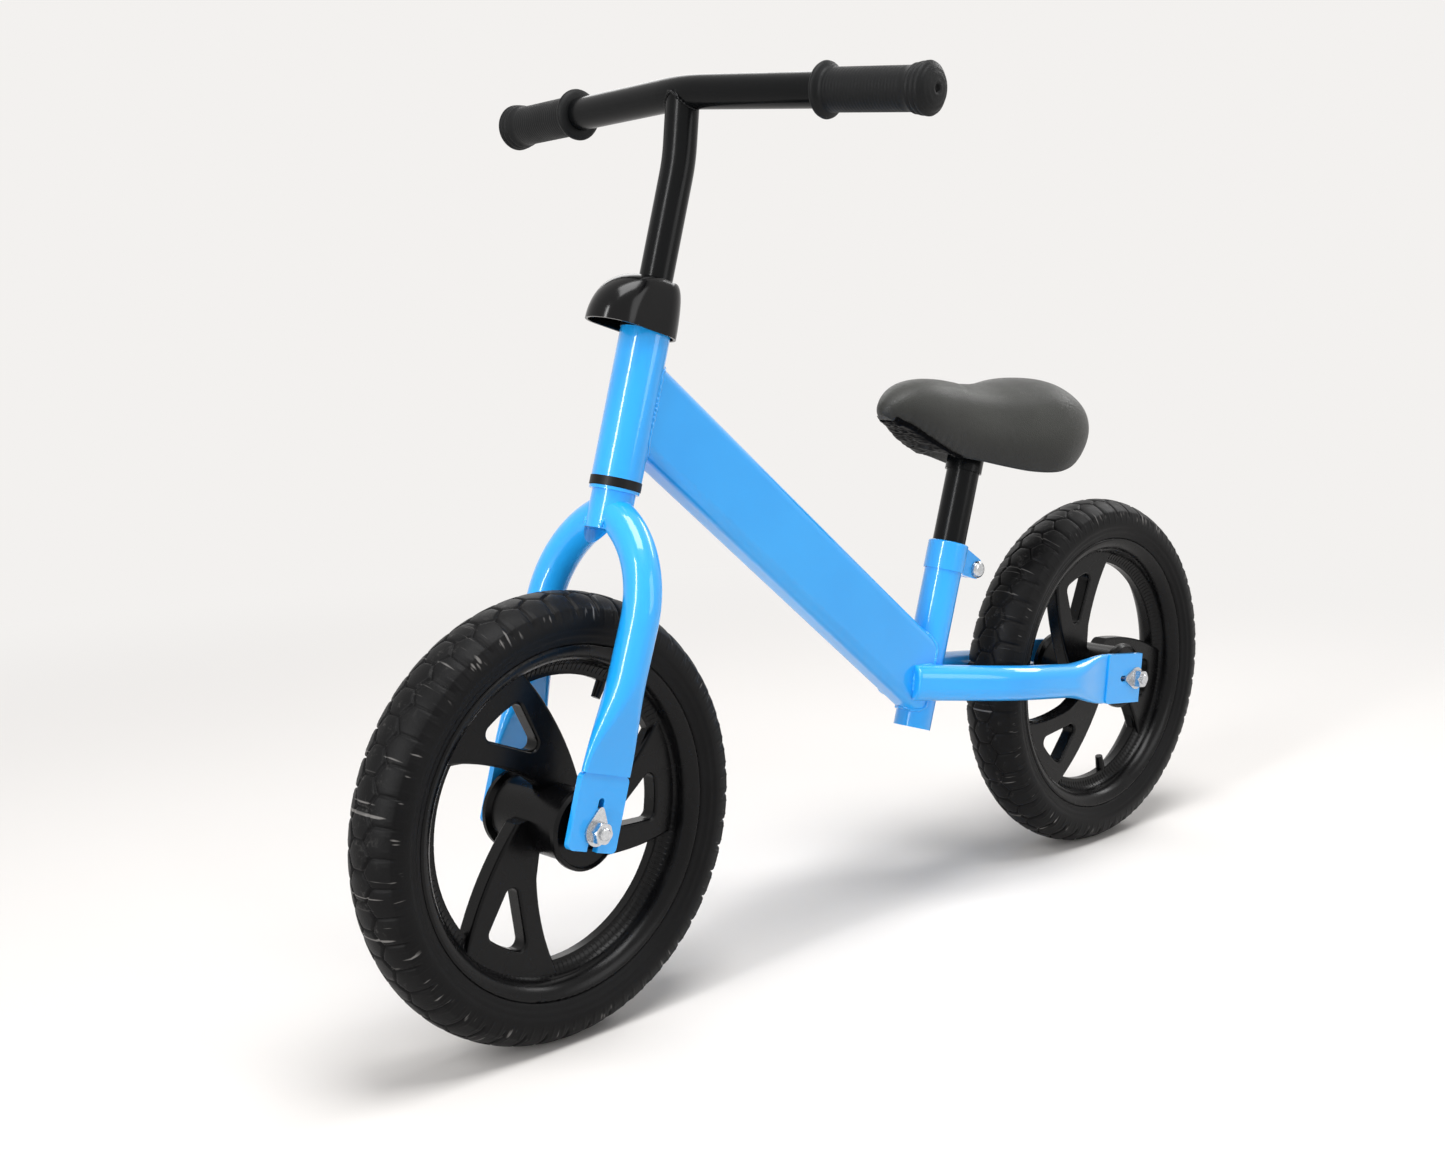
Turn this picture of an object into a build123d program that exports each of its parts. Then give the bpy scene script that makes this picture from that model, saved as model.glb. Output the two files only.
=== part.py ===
"""A children's balance bike, piece by piece.

Millimetres and degrees. +X points ahead, +Y to the rider's left, +Z up. The origin lies on the
ground, midway between the two axles, with the handlebar straight.
"""
import os
from math import cos, radians, sin, tan

from build123d import *

os.makedirs("parts", exist_ok=True)

# Clearances
running_clearance = 0.05  # radial, a shaft that turns in its bearing
sliding_clearance = 0.08  # radial, a tube that slides in another and is then clamped
seat_clearance = 0.02  # radial, a ring that is pushed into its seat
face_clearance = 0.3  # between faces that turn or slide past each other
bolt_clearance = 0.25  # radial, a bolt in its hole

# Wheels: a foam tyre on a moulded core with forked spokes
wheelbase = 590.0
tyre_diameter = 292.0
tyre_width = 48.0
tyre_shoulder_drop = 9.0  # from the crown of the tread down to its shoulder
tyre_shoulder_width = 43.0
rim_seat_diameter = 224.0
rim_width = 40.0
rim_flange_height = 3.0
rim_flange_thickness = 3.0
rim_bead = 2.5  # rounding of the flange's edge
rim_step_diameter = 206.0
rim_lip_diameter = 186.0
rim_lip_width = 6.5
spoke_count = 3
spoke_thickness = 13.0
spoke_straight_side = 15.5  # angle of the straighter edge where it meets the rim
spoke_hooked_side = -30.5  # angle of the hollow edge where it meets the rim
spoke_root_reach = 8.5  # from the hub out to where the spoke narrows
window_gap = 7.5  # from the window out to the rim's lip
window_tip_radius = 44.0
window_corner = 5.0
spoke_edge = 2.2  # rounding along the spokes and their windows
web_half = 2.5  # half thickness of the web that fills the corners between spokes and rim
web_hooked_corner = 9.0
web_straight_corner = 5.0
front_spoke_angle = 61.5
rear_spoke_angle = 193.7
valve_angle = 58.0  # from a spoke round to the moulded valve stub
valve_diameter = 8.0
valve_height = 11.0
hub_diameter = 47.0
hub_flange_diameter = 54.0
hub_flange_width = 5.0
hub_width = 75.0
hub_dish_depth = 2.0
bearing_diameter = 22.0
bearing_width = 7.0
bearing_race = 2.6  # radial thickness of each bearing race
axle_diameter = 8.0

# Axle hardware
front_plate_gap = 80.0  # between the fork's two plates
rear_plate_gap = 87.5  # between the stays' two plates
plate_thickness = 4.5
spacer_diameter = 13.0
washer_thickness = 1.6
washer_radius = 9.2
washer_tip_radius = 2.6
washer_reach = 13.2  # from the axle to the hook of the retaining washer
hook_diameter = 4.2
hook_hole_length = 10.4  # the hole for the hook is longer than the hook
nut_across_flats = 13.0
nut_height = 6.5
axle_thread_end = 2.2  # thread that shows past each nut
slot_clearance = 0.3  # radial, the axle in its dropout

# Steering: sizes along the axis are heights from the front axle
head_angle = 73.3
steerer_diameter = 28.6
steerer_tail = 5.6  # steerer below the joint with the blades
crown_race_thickness = 2.0
crown_rise = 21.6  # from that joint up to the top of the crown race
head_tube_diameter = 33.0
head_tube_bore = 30.4
head_tube_length = 97.5
lower_bush_flange = 5.8
upper_bush_flange = 3.0
bush_sleeve = 16.0
stem_clamp_height = 15.0
stem_clamp_wall = 2.2
clamp_slit = 2.4
clamp_slot_depth = 24.0
stem_ear_thickness = 5.0
stem_bolt_diameter = 6.0

# Fork blades: round tubes pressed flat into plates at the foot
blade_diameter = 24.0
blade_ovality = 0.8  # wider fore and aft than across
blade_wall = 1.8
blade_cap = 9.0  # closed stretch of the blade's top, from the steerer
blade_join_height = 192.6
blade_entry_angle = 60.0  # between the blade's top and the steering axis
blade_knee_spread = 48.3
blade_bend_radius = 70.0
blade_flat_start = 100.0
blade_flat_end = 36.0
blade_plate_width = 40.0
blade_plate_drop = 13.0  # plate below the axle
plate_corner = 4.0

# Frame
junction_x = -74.8  # where the main tube's axis meets the seat tube's
junction_height = 174.7
seat_angle = 72.2
main_tube_joint_rise = 52.7  # above the foot of the head tube
main_tube_height = 56.0
main_tube_width = 28.0
main_tube_corner = 9.0
main_tube_wall = 1.8
seat_tube_diameter = 28.6
seat_tube_drop = 37.5  # below the junction
seat_tube_rise = 103.0  # above the junction

# Rear stays: flat-sided tubes pressed into plates at the axle
stay_height = 27.5
stay_width = 20.5
stay_wall = 1.8
stay_cap = 3.6  # closed front end of the tube
stay_front = 26.0  # ahead of the seat tube's axis
stay_front_spread = 12.3
stay_knee = 66.0  # behind the seat tube's axis
stay_knee_spread = 40.5
stay_bend_radius = 230.0
stay_flat_start = 92.0  # ahead of the axle
stay_flat_end = 40.0
stay_plate_height = 41.0
stay_plate_end = 8.0  # behind the axle

# Seat clamp, post and saddle: heights along the seat tube are from the junction
seat_post_diameter = 25.4
seat_post_wall = 1.6
seat_post_bottom = 12.0
seat_clamp_bottom = 85.5
seat_clamp_height = 22.0
seat_clamp_wall = 1.3
seat_bolt_back = 31.5  # behind the seat tube's axis
seat_ear_thickness = 6.0
seat_ear_height = 15.0
seat_bolt_diameter = 6.0
bolt_head_height = 4.4
bolt_head_diameter = 13.6
socket_wall = 1.5
socket_length = 16.0
saddle_stack = 55.0  # from the top of the nose down to the underside of the steel plate
bracket_thickness = 3.0
bracket_length = 52.0
bracket_width = 32.0
pan_thickness = 5.0
pan_nose_ahead = 45.1  # of the post
pan_nose_radius = 13.0
pan_rear_behind = 58.9
pan_rear_radius = 42.0
screw_diameter = 5.0
screw_spacing_x = 38.0
screw_spacing_y = 20.0
saddle_nose_ahead = 98.1  # of the post
saddle_length = 210.0
saddle_height = 405.0  # top of the nose, above the ground
saddle_half_width = 59.0
saddle_depth = 76.0

# Stem and handlebar
stem_diameter = 22.2
stem_wall = 1.6
stem_insertion = 99.4  # stem inside the steerer
stem_knee_rise = 94.2  # from the top of the steerer up to the stem's bend
stem_bend_radius = 120.0
bar_diameter = 22.2
bar_wall = 1.6
bar_above_knee = 43.56  # middle of the bar, from the stem's bend
bar_behind_knee = 4.86
bar_sweep = 16.6  # back, at each end
bar_drop = 11.0  # down, at each end
bar_width = 393.0
bar_bend_radius = 150.0
grip_length = 84.0
grip_diameter = 27.0
grip_flange_diameter = 35.0
grip_flange_width = 6.0
grip_end_diameter = 32.0
grip_end_width = 9.0
grip_end_taper = 8.0
grip_cap = 3.5
grip_hole_diameter = 6.0

# Headset cover: heights along the steering axis are from its lower rim
cover_front = 46.0
cover_back = 20.6
cover_half_width = 19.5
cover_height = 36.0
cover_overlap = 2.2  # its lower rim below the top of the head tube
cover_wall = 1.8
cover_collar_wall = 3.0

# Places that follow from the sizes above
axle_height = tyre_diameter / 2
front_axle_centre = Vector(wheelbase / 2, 0, axle_height)
rear_axle_centre = Vector(-wheelbase / 2, 0, axle_height)
steer_up = Vector(-cos(radians(head_angle)), 0, sin(radians(head_angle)))
steer_ahead = Vector(sin(radians(head_angle)), 0, cos(radians(head_angle)))
steer = Plane(origin=front_axle_centre, x_dir=steer_ahead, z_dir=steer_up)
steer_side = Plane(origin=front_axle_centre, x_dir=steer_ahead, z_dir=(0, -1, 0))
fork_front = Plane(origin=front_axle_centre, x_dir=(0, 1, 0), z_dir=steer_ahead)

junction = Vector(junction_x, 0, junction_height)
seat_up = Vector(-cos(radians(seat_angle)), 0, sin(radians(seat_angle)))
seat_ahead = Vector(sin(radians(seat_angle)), 0, cos(radians(seat_angle)))
seat = Plane(origin=junction, x_dir=seat_ahead, z_dir=seat_up)
seat_side = Plane(origin=junction, x_dir=seat_ahead, z_dir=(0, -1, 0))

stay_run = rear_axle_centre - junction
stay_back = stay_run.normalized()
stay_axle = stay_run.length
stay_plan = Plane(origin=junction, x_dir=stay_back, z_dir=stay_back.cross(Vector(0, 1, 0)))
stay_side = Plane(origin=rear_axle_centre, x_dir=stay_back, z_dir=(0, -1, 0))

hub_half = hub_width / 2
steerer_bore = stem_diameter + 2 * sliding_clearance
steerer_bottom = blade_join_height - steerer_tail
crown_race_top = blade_join_height + crown_rise
head_bottom = crown_race_top + face_clearance + lower_bush_flange
head_top = head_bottom + head_tube_length
head_joint = front_axle_centre + steer_up * (head_bottom + main_tube_joint_rise)
cover_bottom = head_top - cover_overlap
stem_clamp_bottom = head_top + upper_bush_flange + face_clearance
stem_clamp_top = stem_clamp_bottom + stem_clamp_height
steerer_top = stem_clamp_top + face_clearance
stem_bottom = steerer_top - stem_insertion
stem_knee = steerer_top + stem_knee_rise
bracket_height = saddle_height - saddle_stack
seat_tube_bore = seat_post_diameter + 2 * sliding_clearance


def polar(radius, angle):
    """A point at a radius and an angle from the local x axis."""
    return radius * cos(radians(angle)), radius * sin(radians(angle))


# Tyre: one foam ring, its bead between the rim's flanges
rim_half = rim_width / 2
channel_half = rim_half - rim_flange_thickness
seat_radius = rim_seat_diameter / 2
flange_radius = seat_radius + rim_flange_height
tread_radius = tyre_diameter / 2
shoulder_radius = tread_radius - tyre_shoulder_drop
shoulder_half = tyre_shoulder_width / 2
bead_radius = flange_radius + seat_clearance
wall_middle = (bead_radius + shoulder_radius) / 2
with BuildPart() as tyre:
    with BuildSketch(Plane.XY):
        with BuildLine():
            bead_half = channel_half - seat_clearance
            Polyline(
                (bead_radius, -rim_half),
                (bead_radius, -bead_half),
                (seat_radius + seat_clearance, -bead_half),
                (seat_radius + seat_clearance, bead_half),
                (bead_radius, bead_half),
                (bead_radius, rim_half),
            )
            ThreePointArc(
                (bead_radius, rim_half),
                (wall_middle, tyre_width / 2),
                (shoulder_radius, shoulder_half),
            )
            ThreePointArc(
                (shoulder_radius, shoulder_half),
                (tread_radius, 0),
                (shoulder_radius, -shoulder_half),
            )
            ThreePointArc(
                (shoulder_radius, -shoulder_half),
                (wall_middle, -tyre_width / 2),
                (bead_radius, -rim_half),
            )
        make_face()
    revolve(axis=Axis.Y)

# Wheel core: rim, hub, forked spokes and a moulded valve stub in one piece
lip_radius = rim_lip_diameter / 2
lip_half = rim_lip_width / 2
step_radius = rim_step_diameter / 2
hub_radius = hub_diameter / 2
pocket_radius = bearing_diameter / 2 + seat_clearance
hub_bore_radius = bearing_diameter / 2 - bearing_race
pocket_floor = hub_half - bearing_width
spoke_outer = step_radius - 1
spoke_middle = (spoke_outer + hub_radius) / 2
spoke_root = hub_radius + spoke_root_reach
spoke_anchor = hub_radius - 3
spoke_lean = (spoke_straight_side + spoke_hooked_side) / 2
window_outer = lip_radius - window_gap
with BuildSketch() as spoke:
    with BuildLine():
        ThreePointArc(
            polar(spoke_outer, spoke_hooked_side),
            polar(spoke_outer, spoke_lean),
            polar(spoke_outer, spoke_straight_side),
        )
        ThreePointArc(
            polar(spoke_outer, spoke_straight_side),
            polar(spoke_middle, spoke_straight_side + 16),
            polar(spoke_root, spoke_straight_side + 49.5),
        )
        Polyline(
            polar(spoke_root, spoke_straight_side + 49.5),
            polar(spoke_anchor, spoke_straight_side + 57.5),
            polar(spoke_anchor, spoke_hooked_side + 42.5),
            polar(spoke_root, spoke_hooked_side + 30),
        )
        ThreePointArc(
            polar(spoke_root, spoke_hooked_side + 30),
            polar(spoke_middle, spoke_hooked_side + 12.5),
            polar(spoke_outer, spoke_hooked_side),
        )
    make_face()

with BuildSketch() as window:
    with BuildLine():
        ThreePointArc(
            polar(window_outer, spoke_hooked_side + 17),
            polar(window_outer, spoke_lean + 6),
            polar(window_outer, spoke_straight_side - 5),
        )
        Polyline(
            polar(window_outer, spoke_straight_side - 5),
            polar(window_tip_radius, spoke_straight_side + 4),
            polar(window_outer, spoke_hooked_side + 17),
        )
    make_face()
    fillet(window.vertices(), radius=window_corner)

with BuildPart() as spoke_arm:
    with BuildSketch(Plane.XZ):
        add(spoke.sketch)
        add(window.sketch, mode=Mode.SUBTRACT)
    extrude(amount=spoke_thickness / 2, both=True)
    spoke_sides = [
        edge
        for edge in spoke_arm.faces().filter_by(Axis.Y).edges()
        if spoke_root < Vector(edge.center().X, 0, edge.center().Z).length < lip_radius
    ]
    fillet(spoke_sides, radius=spoke_edge)

bead_sagitta = 1 - cos(radians(45))
spoke_pitch = 360 / spoke_count
web_tuck = 1.5  # degrees that the web's openings reach under the spokes
with BuildSketch() as web_opening:
    with BuildLine():
        ThreePointArc(
            polar(lip_radius, spoke_straight_side - web_tuck),
            polar(lip_radius, (spoke_straight_side + spoke_hooked_side + spoke_pitch) / 2),
            polar(lip_radius, spoke_hooked_side + spoke_pitch + web_tuck),
        )
        ThreePointArc(
            polar(lip_radius, spoke_hooked_side + spoke_pitch + web_tuck),
            polar(spoke_middle, spoke_hooked_side + spoke_pitch + 12.5 + web_tuck),
            polar(spoke_root, spoke_hooked_side + spoke_pitch + 30 + web_tuck),
        )
        Polyline(
            polar(spoke_root, spoke_hooked_side + spoke_pitch + 30 + web_tuck),
            polar(spoke_anchor, spoke_hooked_side + spoke_pitch + 42.5 + web_tuck),
            polar(spoke_anchor, spoke_straight_side + 57.5 - web_tuck),
            polar(spoke_root, spoke_straight_side + 49.5 - web_tuck),
        )
        ThreePointArc(
            polar(spoke_root, spoke_straight_side + 49.5 - web_tuck),
            polar(spoke_middle, spoke_straight_side + 16 - web_tuck),
            polar(lip_radius, spoke_straight_side - web_tuck),
        )
    make_face()
    rim_corners = [corner for corner in web_opening.vertices() if corner.center().length > lip_radius - 1]
    rim_corners.sort(key=lambda corner: corner.X)
    fillet(rim_corners[-1], radius=web_straight_corner)
    fillet(rim_corners[0], radius=web_hooked_corner)

with BuildSketch() as web_window:
    add(window.sketch)
    offset(amount=spoke_edge)

with BuildPart() as wheel_core:
    with BuildSketch(Plane.XY):
        with BuildLine():
            Polyline((lip_radius, 0), (lip_radius, lip_half))
            ThreePointArc(
                (lip_radius, lip_half),
                ((lip_radius + 2 * step_radius) / 3, rim_half / 4),
                (step_radius, rim_half / 2),
            )
            ThreePointArc(
                (step_radius, rim_half / 2),
                (step_radius + 4, rim_half - rim_bead),
                (flange_radius - rim_bead, rim_half),
            )
            ThreePointArc(
                (flange_radius - rim_bead, rim_half),
                (flange_radius - rim_bead * bead_sagitta, rim_half - rim_bead * bead_sagitta),
                (flange_radius, rim_half - rim_bead),
            )
            Polyline(
                (flange_radius, rim_half - rim_bead),
                (flange_radius, channel_half),
                (seat_radius, channel_half),
                (seat_radius, 0),
            )
            mirror(about=Plane.XZ)
        make_face()
    revolve(axis=Axis.Y)
    with BuildSketch(Plane.XY):
        with BuildLine():
            hub_upper = Polyline(
                (hub_bore_radius, 0),
                (hub_bore_radius, pocket_floor),
                (pocket_radius, pocket_floor),
                (pocket_radius, hub_half),
                (pocket_radius + 2, hub_half),
                (pocket_radius + 3, hub_half - hub_dish_depth),
                (hub_flange_diameter / 2 - 3, hub_half - hub_dish_depth),
                (hub_flange_diameter / 2 - 2, hub_half),
                (hub_flange_diameter / 2, hub_half - 2),
                (hub_flange_diameter / 2, hub_half - hub_flange_width),
                (hub_radius, hub_half - hub_flange_width - 2),
                (hub_radius, 0),
            )
            mirror(hub_upper, about=Plane.XZ)
        make_face()
    revolve(axis=Axis.Y)
    with BuildSketch(Plane.XZ):
        Circle(spoke_outer)
        Circle(spoke_anchor, mode=Mode.SUBTRACT)
        with PolarLocations(0, spoke_count):
            add(web_opening.sketch, mode=Mode.SUBTRACT)
            add(web_window.sketch, mode=Mode.SUBTRACT)
    extrude(amount=web_half, both=True)
    with Locations(*[Location((0, 0, 0), (0, spoke_pitch * turn, 0)) for turn in range(spoke_count)]):
        add(spoke_arm.part)
    valve_plane = Plane(
        origin=(polar(lip_radius + 2, valve_angle)[0], 0, polar(lip_radius + 2, valve_angle)[1]),
        z_dir=(-cos(radians(valve_angle)), 0, -sin(radians(valve_angle))),
    )
    with BuildSketch(valve_plane):
        Circle(valve_diameter / 2)
    extrude(amount=valve_height + 2, taper=4)

# Hub bearings: one at each end of the hub
axle_radius = axle_diameter / 2
race_inner = axle_radius + running_clearance
with BuildPart() as hub_bearings:
    with BuildSketch(Plane.XY):
        with BuildLine():
            Polyline(
                (race_inner, pocket_floor),
                (race_inner, hub_half),
                (race_inner + bearing_race, hub_half),
                (race_inner + bearing_race, hub_half - 0.6),
                (bearing_diameter / 2 - bearing_race, hub_half - 0.6),
                (bearing_diameter / 2 - bearing_race, hub_half),
                (bearing_diameter / 2, hub_half),
                (bearing_diameter / 2, pocket_floor),
                close=True,
            )
        make_face()
    revolve(axis=Axis.Y)
    mirror(about=Plane.XZ)

# Both wheels carry the same pieces; the rear one is turned round, so its spokes lean the other way
wheel_places = {
    "front": Location(front_axle_centre, (0, -front_spoke_angle, 0)),
    "rear": Location(rear_axle_centre, (0, 180 / spoke_count - rear_spoke_angle, 180)),
}
for end, place in wheel_places.items():
    for name, piece in (("tyre", tyre), ("wheel_core", wheel_core), ("hub_bearings", hub_bearings)):
        with BuildPart() as wheel_piece:
            with Locations(place):
                add(piece.part)
        wheel_piece.part.label = f"{end}_{name}"
        export_step(wheel_piece.part, f"parts/{end}_{name}.step")

# Axles, spacers, retaining washers and nuts. Each washer hooks into a hole in its plate:
# above the axle on the fork, ahead of it on the stays.
axle_sets = {
    "front": (front_axle_centre, steer_side, front_plate_gap / 2, (0, washer_reach)),
    "rear": (rear_axle_centre, stay_side, rear_plate_gap / 2, (-washer_reach, 0)),
}
for end, (centre, side, plate_inside, hook) in axle_sets.items():
    plate_outside = plate_inside + plate_thickness
    nut_inside = plate_outside + washer_thickness
    nut_outside = nut_inside + nut_height
    axle_end = nut_outside + axle_thread_end
    spacer_inside = hub_half + face_clearance

    with BuildPart() as axle:
        with BuildSketch(side):
            Circle(axle_radius)
        extrude(amount=axle_end, both=True)
        chamfer(axle.edges().filter_by(GeomType.CIRCLE), length=0.8)
    axle.part.label = f"{end}_axle"
    export_step(axle.part, f"parts/{end}_axle.step")

    with BuildPart() as spacers:
        with BuildSketch(side.offset(-spacer_inside)):
            Circle(spacer_diameter / 2)
            Circle(axle_radius + running_clearance, mode=Mode.SUBTRACT)
        extrude(amount=spacer_inside - plate_inside)
        mirror(about=Plane.XZ)
    spacers.part.label = f"{end}_axle_spacers"
    export_step(spacers.part, f"parts/{end}_axle_spacers.step")

    with BuildPart() as washers:
        with BuildSketch(side.offset(-plate_outside)):
            Circle(washer_radius)
            with Locations(hook):
                Circle(washer_tip_radius)
            make_hull()
            Circle(axle_radius + slot_clearance, mode=Mode.SUBTRACT)
        extrude(amount=-washer_thickness)
        with BuildSketch(side.offset(-plate_outside)):
            with Locations(hook):
                Circle(hook_diameter / 2)
        extrude(amount=plate_thickness)
        mirror(about=Plane.XZ)
    washers.part.label = f"{end}_axle_washers"
    export_step(washers.part, f"parts/{end}_axle_washers.step")

    with BuildPart() as nuts:
        with BuildSketch(side.offset(-nut_inside)):
            RegularPolygon(nut_across_flats / 2, 6, major_radius=False)
        extrude(amount=-nut_height)
        with BuildSketch(side.offset(-nut_outside)):
            Circle(nut_across_flats / 2 + 0.4)
        extrude(amount=nut_height, taper=-30, mode=Mode.INTERSECT)
        with BuildSketch(side.offset(-nut_inside)):
            Circle(axle_radius + running_clearance)
        extrude(amount=-nut_height, mode=Mode.SUBTRACT)
        mirror(about=Plane.XZ)
    nuts.part.label = f"{end}_axle_nuts"
    export_step(nuts.part, f"parts/{end}_axle_nuts.step")

# Steerer tube: open at its foot, slit at the top where the stem clamp closes on the stem
steerer_radius = steerer_diameter / 2
with BuildPart() as steerer_tube:
    with BuildSketch(steer.offset(steerer_bottom)):
        Circle(steerer_radius)
        Circle(steerer_bore / 2, mode=Mode.SUBTRACT)
    extrude(amount=steerer_top - steerer_bottom)
    with BuildSketch(steer.offset(steerer_top)):
        with Locations((steerer_radius / 2, 0)):
            Rectangle(steerer_radius + 2, clamp_slit)
    extrude(amount=-clamp_slot_depth, mode=Mode.SUBTRACT)
steerer_tube.part.label = "steerer_tube"
export_step(steerer_tube.part, "parts/steerer_tube.step")

# Crown race: the ring on the steerer that carries the head tube's lower bush
with BuildPart() as crown_race:
    with BuildSketch(steer.offset(crown_race_top)):
        Circle(head_tube_diameter / 2)
        Circle(steerer_radius + seat_clearance, mode=Mode.SUBTRACT)
    extrude(amount=-crown_race_thickness)
crown_race.part.label = "crown_race"
export_step(crown_race.part, "parts/crown_race.step")

# Head tube and its two flanged plastic bushes
with BuildPart() as head_tube:
    with BuildSketch(steer.offset(head_bottom)):
        Circle(head_tube_diameter / 2)
        Circle(head_tube_bore / 2, mode=Mode.SUBTRACT)
    extrude(amount=head_tube_length)
head_tube.part.label = "head_tube"
export_step(head_tube.part, "parts/head_tube.step")

bush_bore_radius = steerer_radius + running_clearance
bush_sleeve_radius = head_tube_bore / 2 - seat_clearance
bush_flange_radius = head_tube_diameter / 2 + 0.4
with BuildPart() as lower_headset_bush:
    with BuildSketch(steer.offset(head_bottom)):
        Circle(bush_flange_radius)
        Circle(bush_bore_radius, mode=Mode.SUBTRACT)
    extrude(amount=-lower_bush_flange)
    with BuildSketch(steer.offset(head_bottom)):
        Circle(bush_sleeve_radius)
        Circle(bush_bore_radius, mode=Mode.SUBTRACT)
    extrude(amount=bush_sleeve)
lower_headset_bush.part.label = "lower_headset_bush"
export_step(lower_headset_bush.part, "parts/lower_headset_bush.step")

with BuildPart() as upper_headset_bush:
    with BuildSketch(steer.offset(head_top)):
        Circle(bush_flange_radius)
        Circle(bush_bore_radius, mode=Mode.SUBTRACT)
    extrude(amount=upper_bush_flange)
    with BuildSketch(steer.offset(head_top)):
        Circle(bush_sleeve_radius)
        Circle(bush_bore_radius, mode=Mode.SUBTRACT)
    extrude(amount=-bush_sleeve)
upper_headset_bush.part.label = "upper_headset_bush"
export_step(upper_headset_bush.part, "parts/upper_headset_bush.step")

# Fork blades: bent round tube above, pressed flat below, with a slotted plate for the axle
hook_hole_middle = washer_reach + (hook_hole_length - hook_diameter) / 2 - slot_clearance
front_plate_middle = front_plate_gap / 2 + plate_thickness / 2
blade_knee_drop = (blade_knee_spread - steerer_radius) / tan(radians(blade_entry_angle))
blade_knee_height = blade_join_height - blade_knee_drop
blade_lean = (blade_knee_spread - front_plate_middle) / blade_knee_height
blade_foot_up = Vector(steer_up.X, blade_lean, steer_up.Z).normalized()


def blade_point(height):
    """Middle of the blade's straight stretch: spread from the wheel's plane, height above the axle."""
    return front_plate_middle + blade_lean * height, height


def blade_section(height):
    """A plane square to the blade's straight stretch."""
    origin = fork_front.from_local_coords(blade_point(height))
    return Plane(origin=origin, x_dir=steer_ahead, z_dir=blade_foot_up)


def pressed(share, tube, plate):
    """A size on its way from tube to plate, slow to start and slow to end."""
    return tube + (plate - tube) * (3 - 2 * share) * share ** 2


def pressed_blade(share):
    """The blade's section at a share of the way from round tube to plate."""
    height = blade_flat_start + (blade_flat_end - blade_flat_start) * share
    with BuildSketch(blade_section(height)) as section:
        SlotOverall(
            pressed(share, blade_diameter + blade_ovality, blade_plate_width),
            pressed(share, blade_diameter, plate_thickness),
        )
    return section.sketch


blade_corners = [
    blade_point(blade_flat_start),
    (blade_knee_spread, blade_knee_height),
    (0, blade_join_height + steerer_radius / tan(radians(blade_entry_angle))),
]
with BuildPart() as blade_bore:
    with BuildLine(fork_front) as bore_path:
        FilletPolyline(*blade_corners, radius=blade_bend_radius)
    with BuildSketch(blade_section(blade_flat_start)):
        SlotOverall(blade_diameter + blade_ovality - 2 * blade_wall, blade_diameter - 2 * blade_wall)
    sweep(path=bore_path.wire())
    split(bisect_by=Plane.XZ.offset(-steerer_radius - blade_cap), keep=Keep.BOTTOM)

with BuildPart() as left_fork_blade:
    with BuildLine(fork_front) as blade_path:
        FilletPolyline(*blade_corners, radius=blade_bend_radius)
    with BuildSketch(blade_section(blade_flat_start)):
        SlotOverall(blade_diameter + blade_ovality, blade_diameter)
    sweep(path=blade_path.wire())
    add(blade_bore.part, mode=Mode.SUBTRACT)
    loft(sections=[pressed_blade(share / 4) for share in range(5)])
    with BuildSketch(steer_side.offset(-front_plate_gap / 2)) as blade_foot:
        with Locations((0, (blade_flat_end - blade_plate_drop) / 2)):
            Rectangle(blade_plate_width, blade_flat_end + blade_plate_drop)
        fillet(blade_foot.vertices().group_by(Axis.Z)[0], radius=plate_corner)
    extrude(amount=-plate_thickness)
    with BuildSketch(steer.offset(steerer_bottom - blade_diameter)):
        Circle(steerer_radius)
    extrude(amount=steerer_top, mode=Mode.SUBTRACT)
    split(bisect_by=Plane.XZ.offset(-steerer_radius / 4), keep=Keep.BOTTOM)
    with BuildSketch(steer_side):
        Circle(axle_radius + slot_clearance)
        with Locations((0, -blade_plate_drop)):
            Rectangle(axle_diameter + 2 * slot_clearance, 2 * blade_plate_drop)
        with Locations((0, hook_hole_middle)):
            SlotOverall(hook_hole_length, hook_diameter + 2 * slot_clearance, rotation=90)
    extrude(amount=-front_plate_gap, mode=Mode.SUBTRACT)
left_fork_blade.part.label = "left_fork_blade"
export_step(left_fork_blade.part, "parts/left_fork_blade.step")

with BuildPart() as right_fork_blade:
    mirror(left_fork_blade.part, about=Plane.XZ)
right_fork_blade.part.label = "right_fork_blade"
export_step(right_fork_blade.part, "parts/right_fork_blade.step")

# Stem clamp: a split ring on the steerer with a bolt and nut through its ears
stem_clamp_radius = steerer_radius + stem_clamp_wall
stem_ear_half = clamp_slit / 2 + stem_ear_thickness
stem_bolt_ahead = stem_clamp_radius + stem_bolt_diameter
stem_ear_reach = stem_bolt_ahead + stem_bolt_diameter
stem_bolt_side = Plane(
    origin=front_axle_centre
    + steer_up * (stem_clamp_bottom + stem_clamp_height / 2)
    + steer_ahead * stem_bolt_ahead,
    x_dir=steer_ahead,
    z_dir=(0, -1, 0),
)
with BuildPart() as stem_clamp:
    with BuildSketch(steer.offset(stem_clamp_bottom)):
        Circle(stem_clamp_radius)
        with Locations((stem_ear_reach / 2, 0)):
            Rectangle(stem_ear_reach, 2 * stem_ear_half)
        Circle(steerer_radius + seat_clearance, mode=Mode.SUBTRACT)
        with Locations((stem_ear_reach / 2 + 1, 0)):
            Rectangle(stem_ear_reach + 2, clamp_slit, mode=Mode.SUBTRACT)
    extrude(amount=stem_clamp_height)
    with BuildSketch(stem_bolt_side):
        Circle(stem_bolt_diameter / 2 + bolt_clearance)
    extrude(amount=stem_ear_half + 1, both=True, mode=Mode.SUBTRACT)
stem_clamp.part.label = "stem_clamp"
export_step(stem_clamp.part, "parts/stem_clamp.step")


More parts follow.
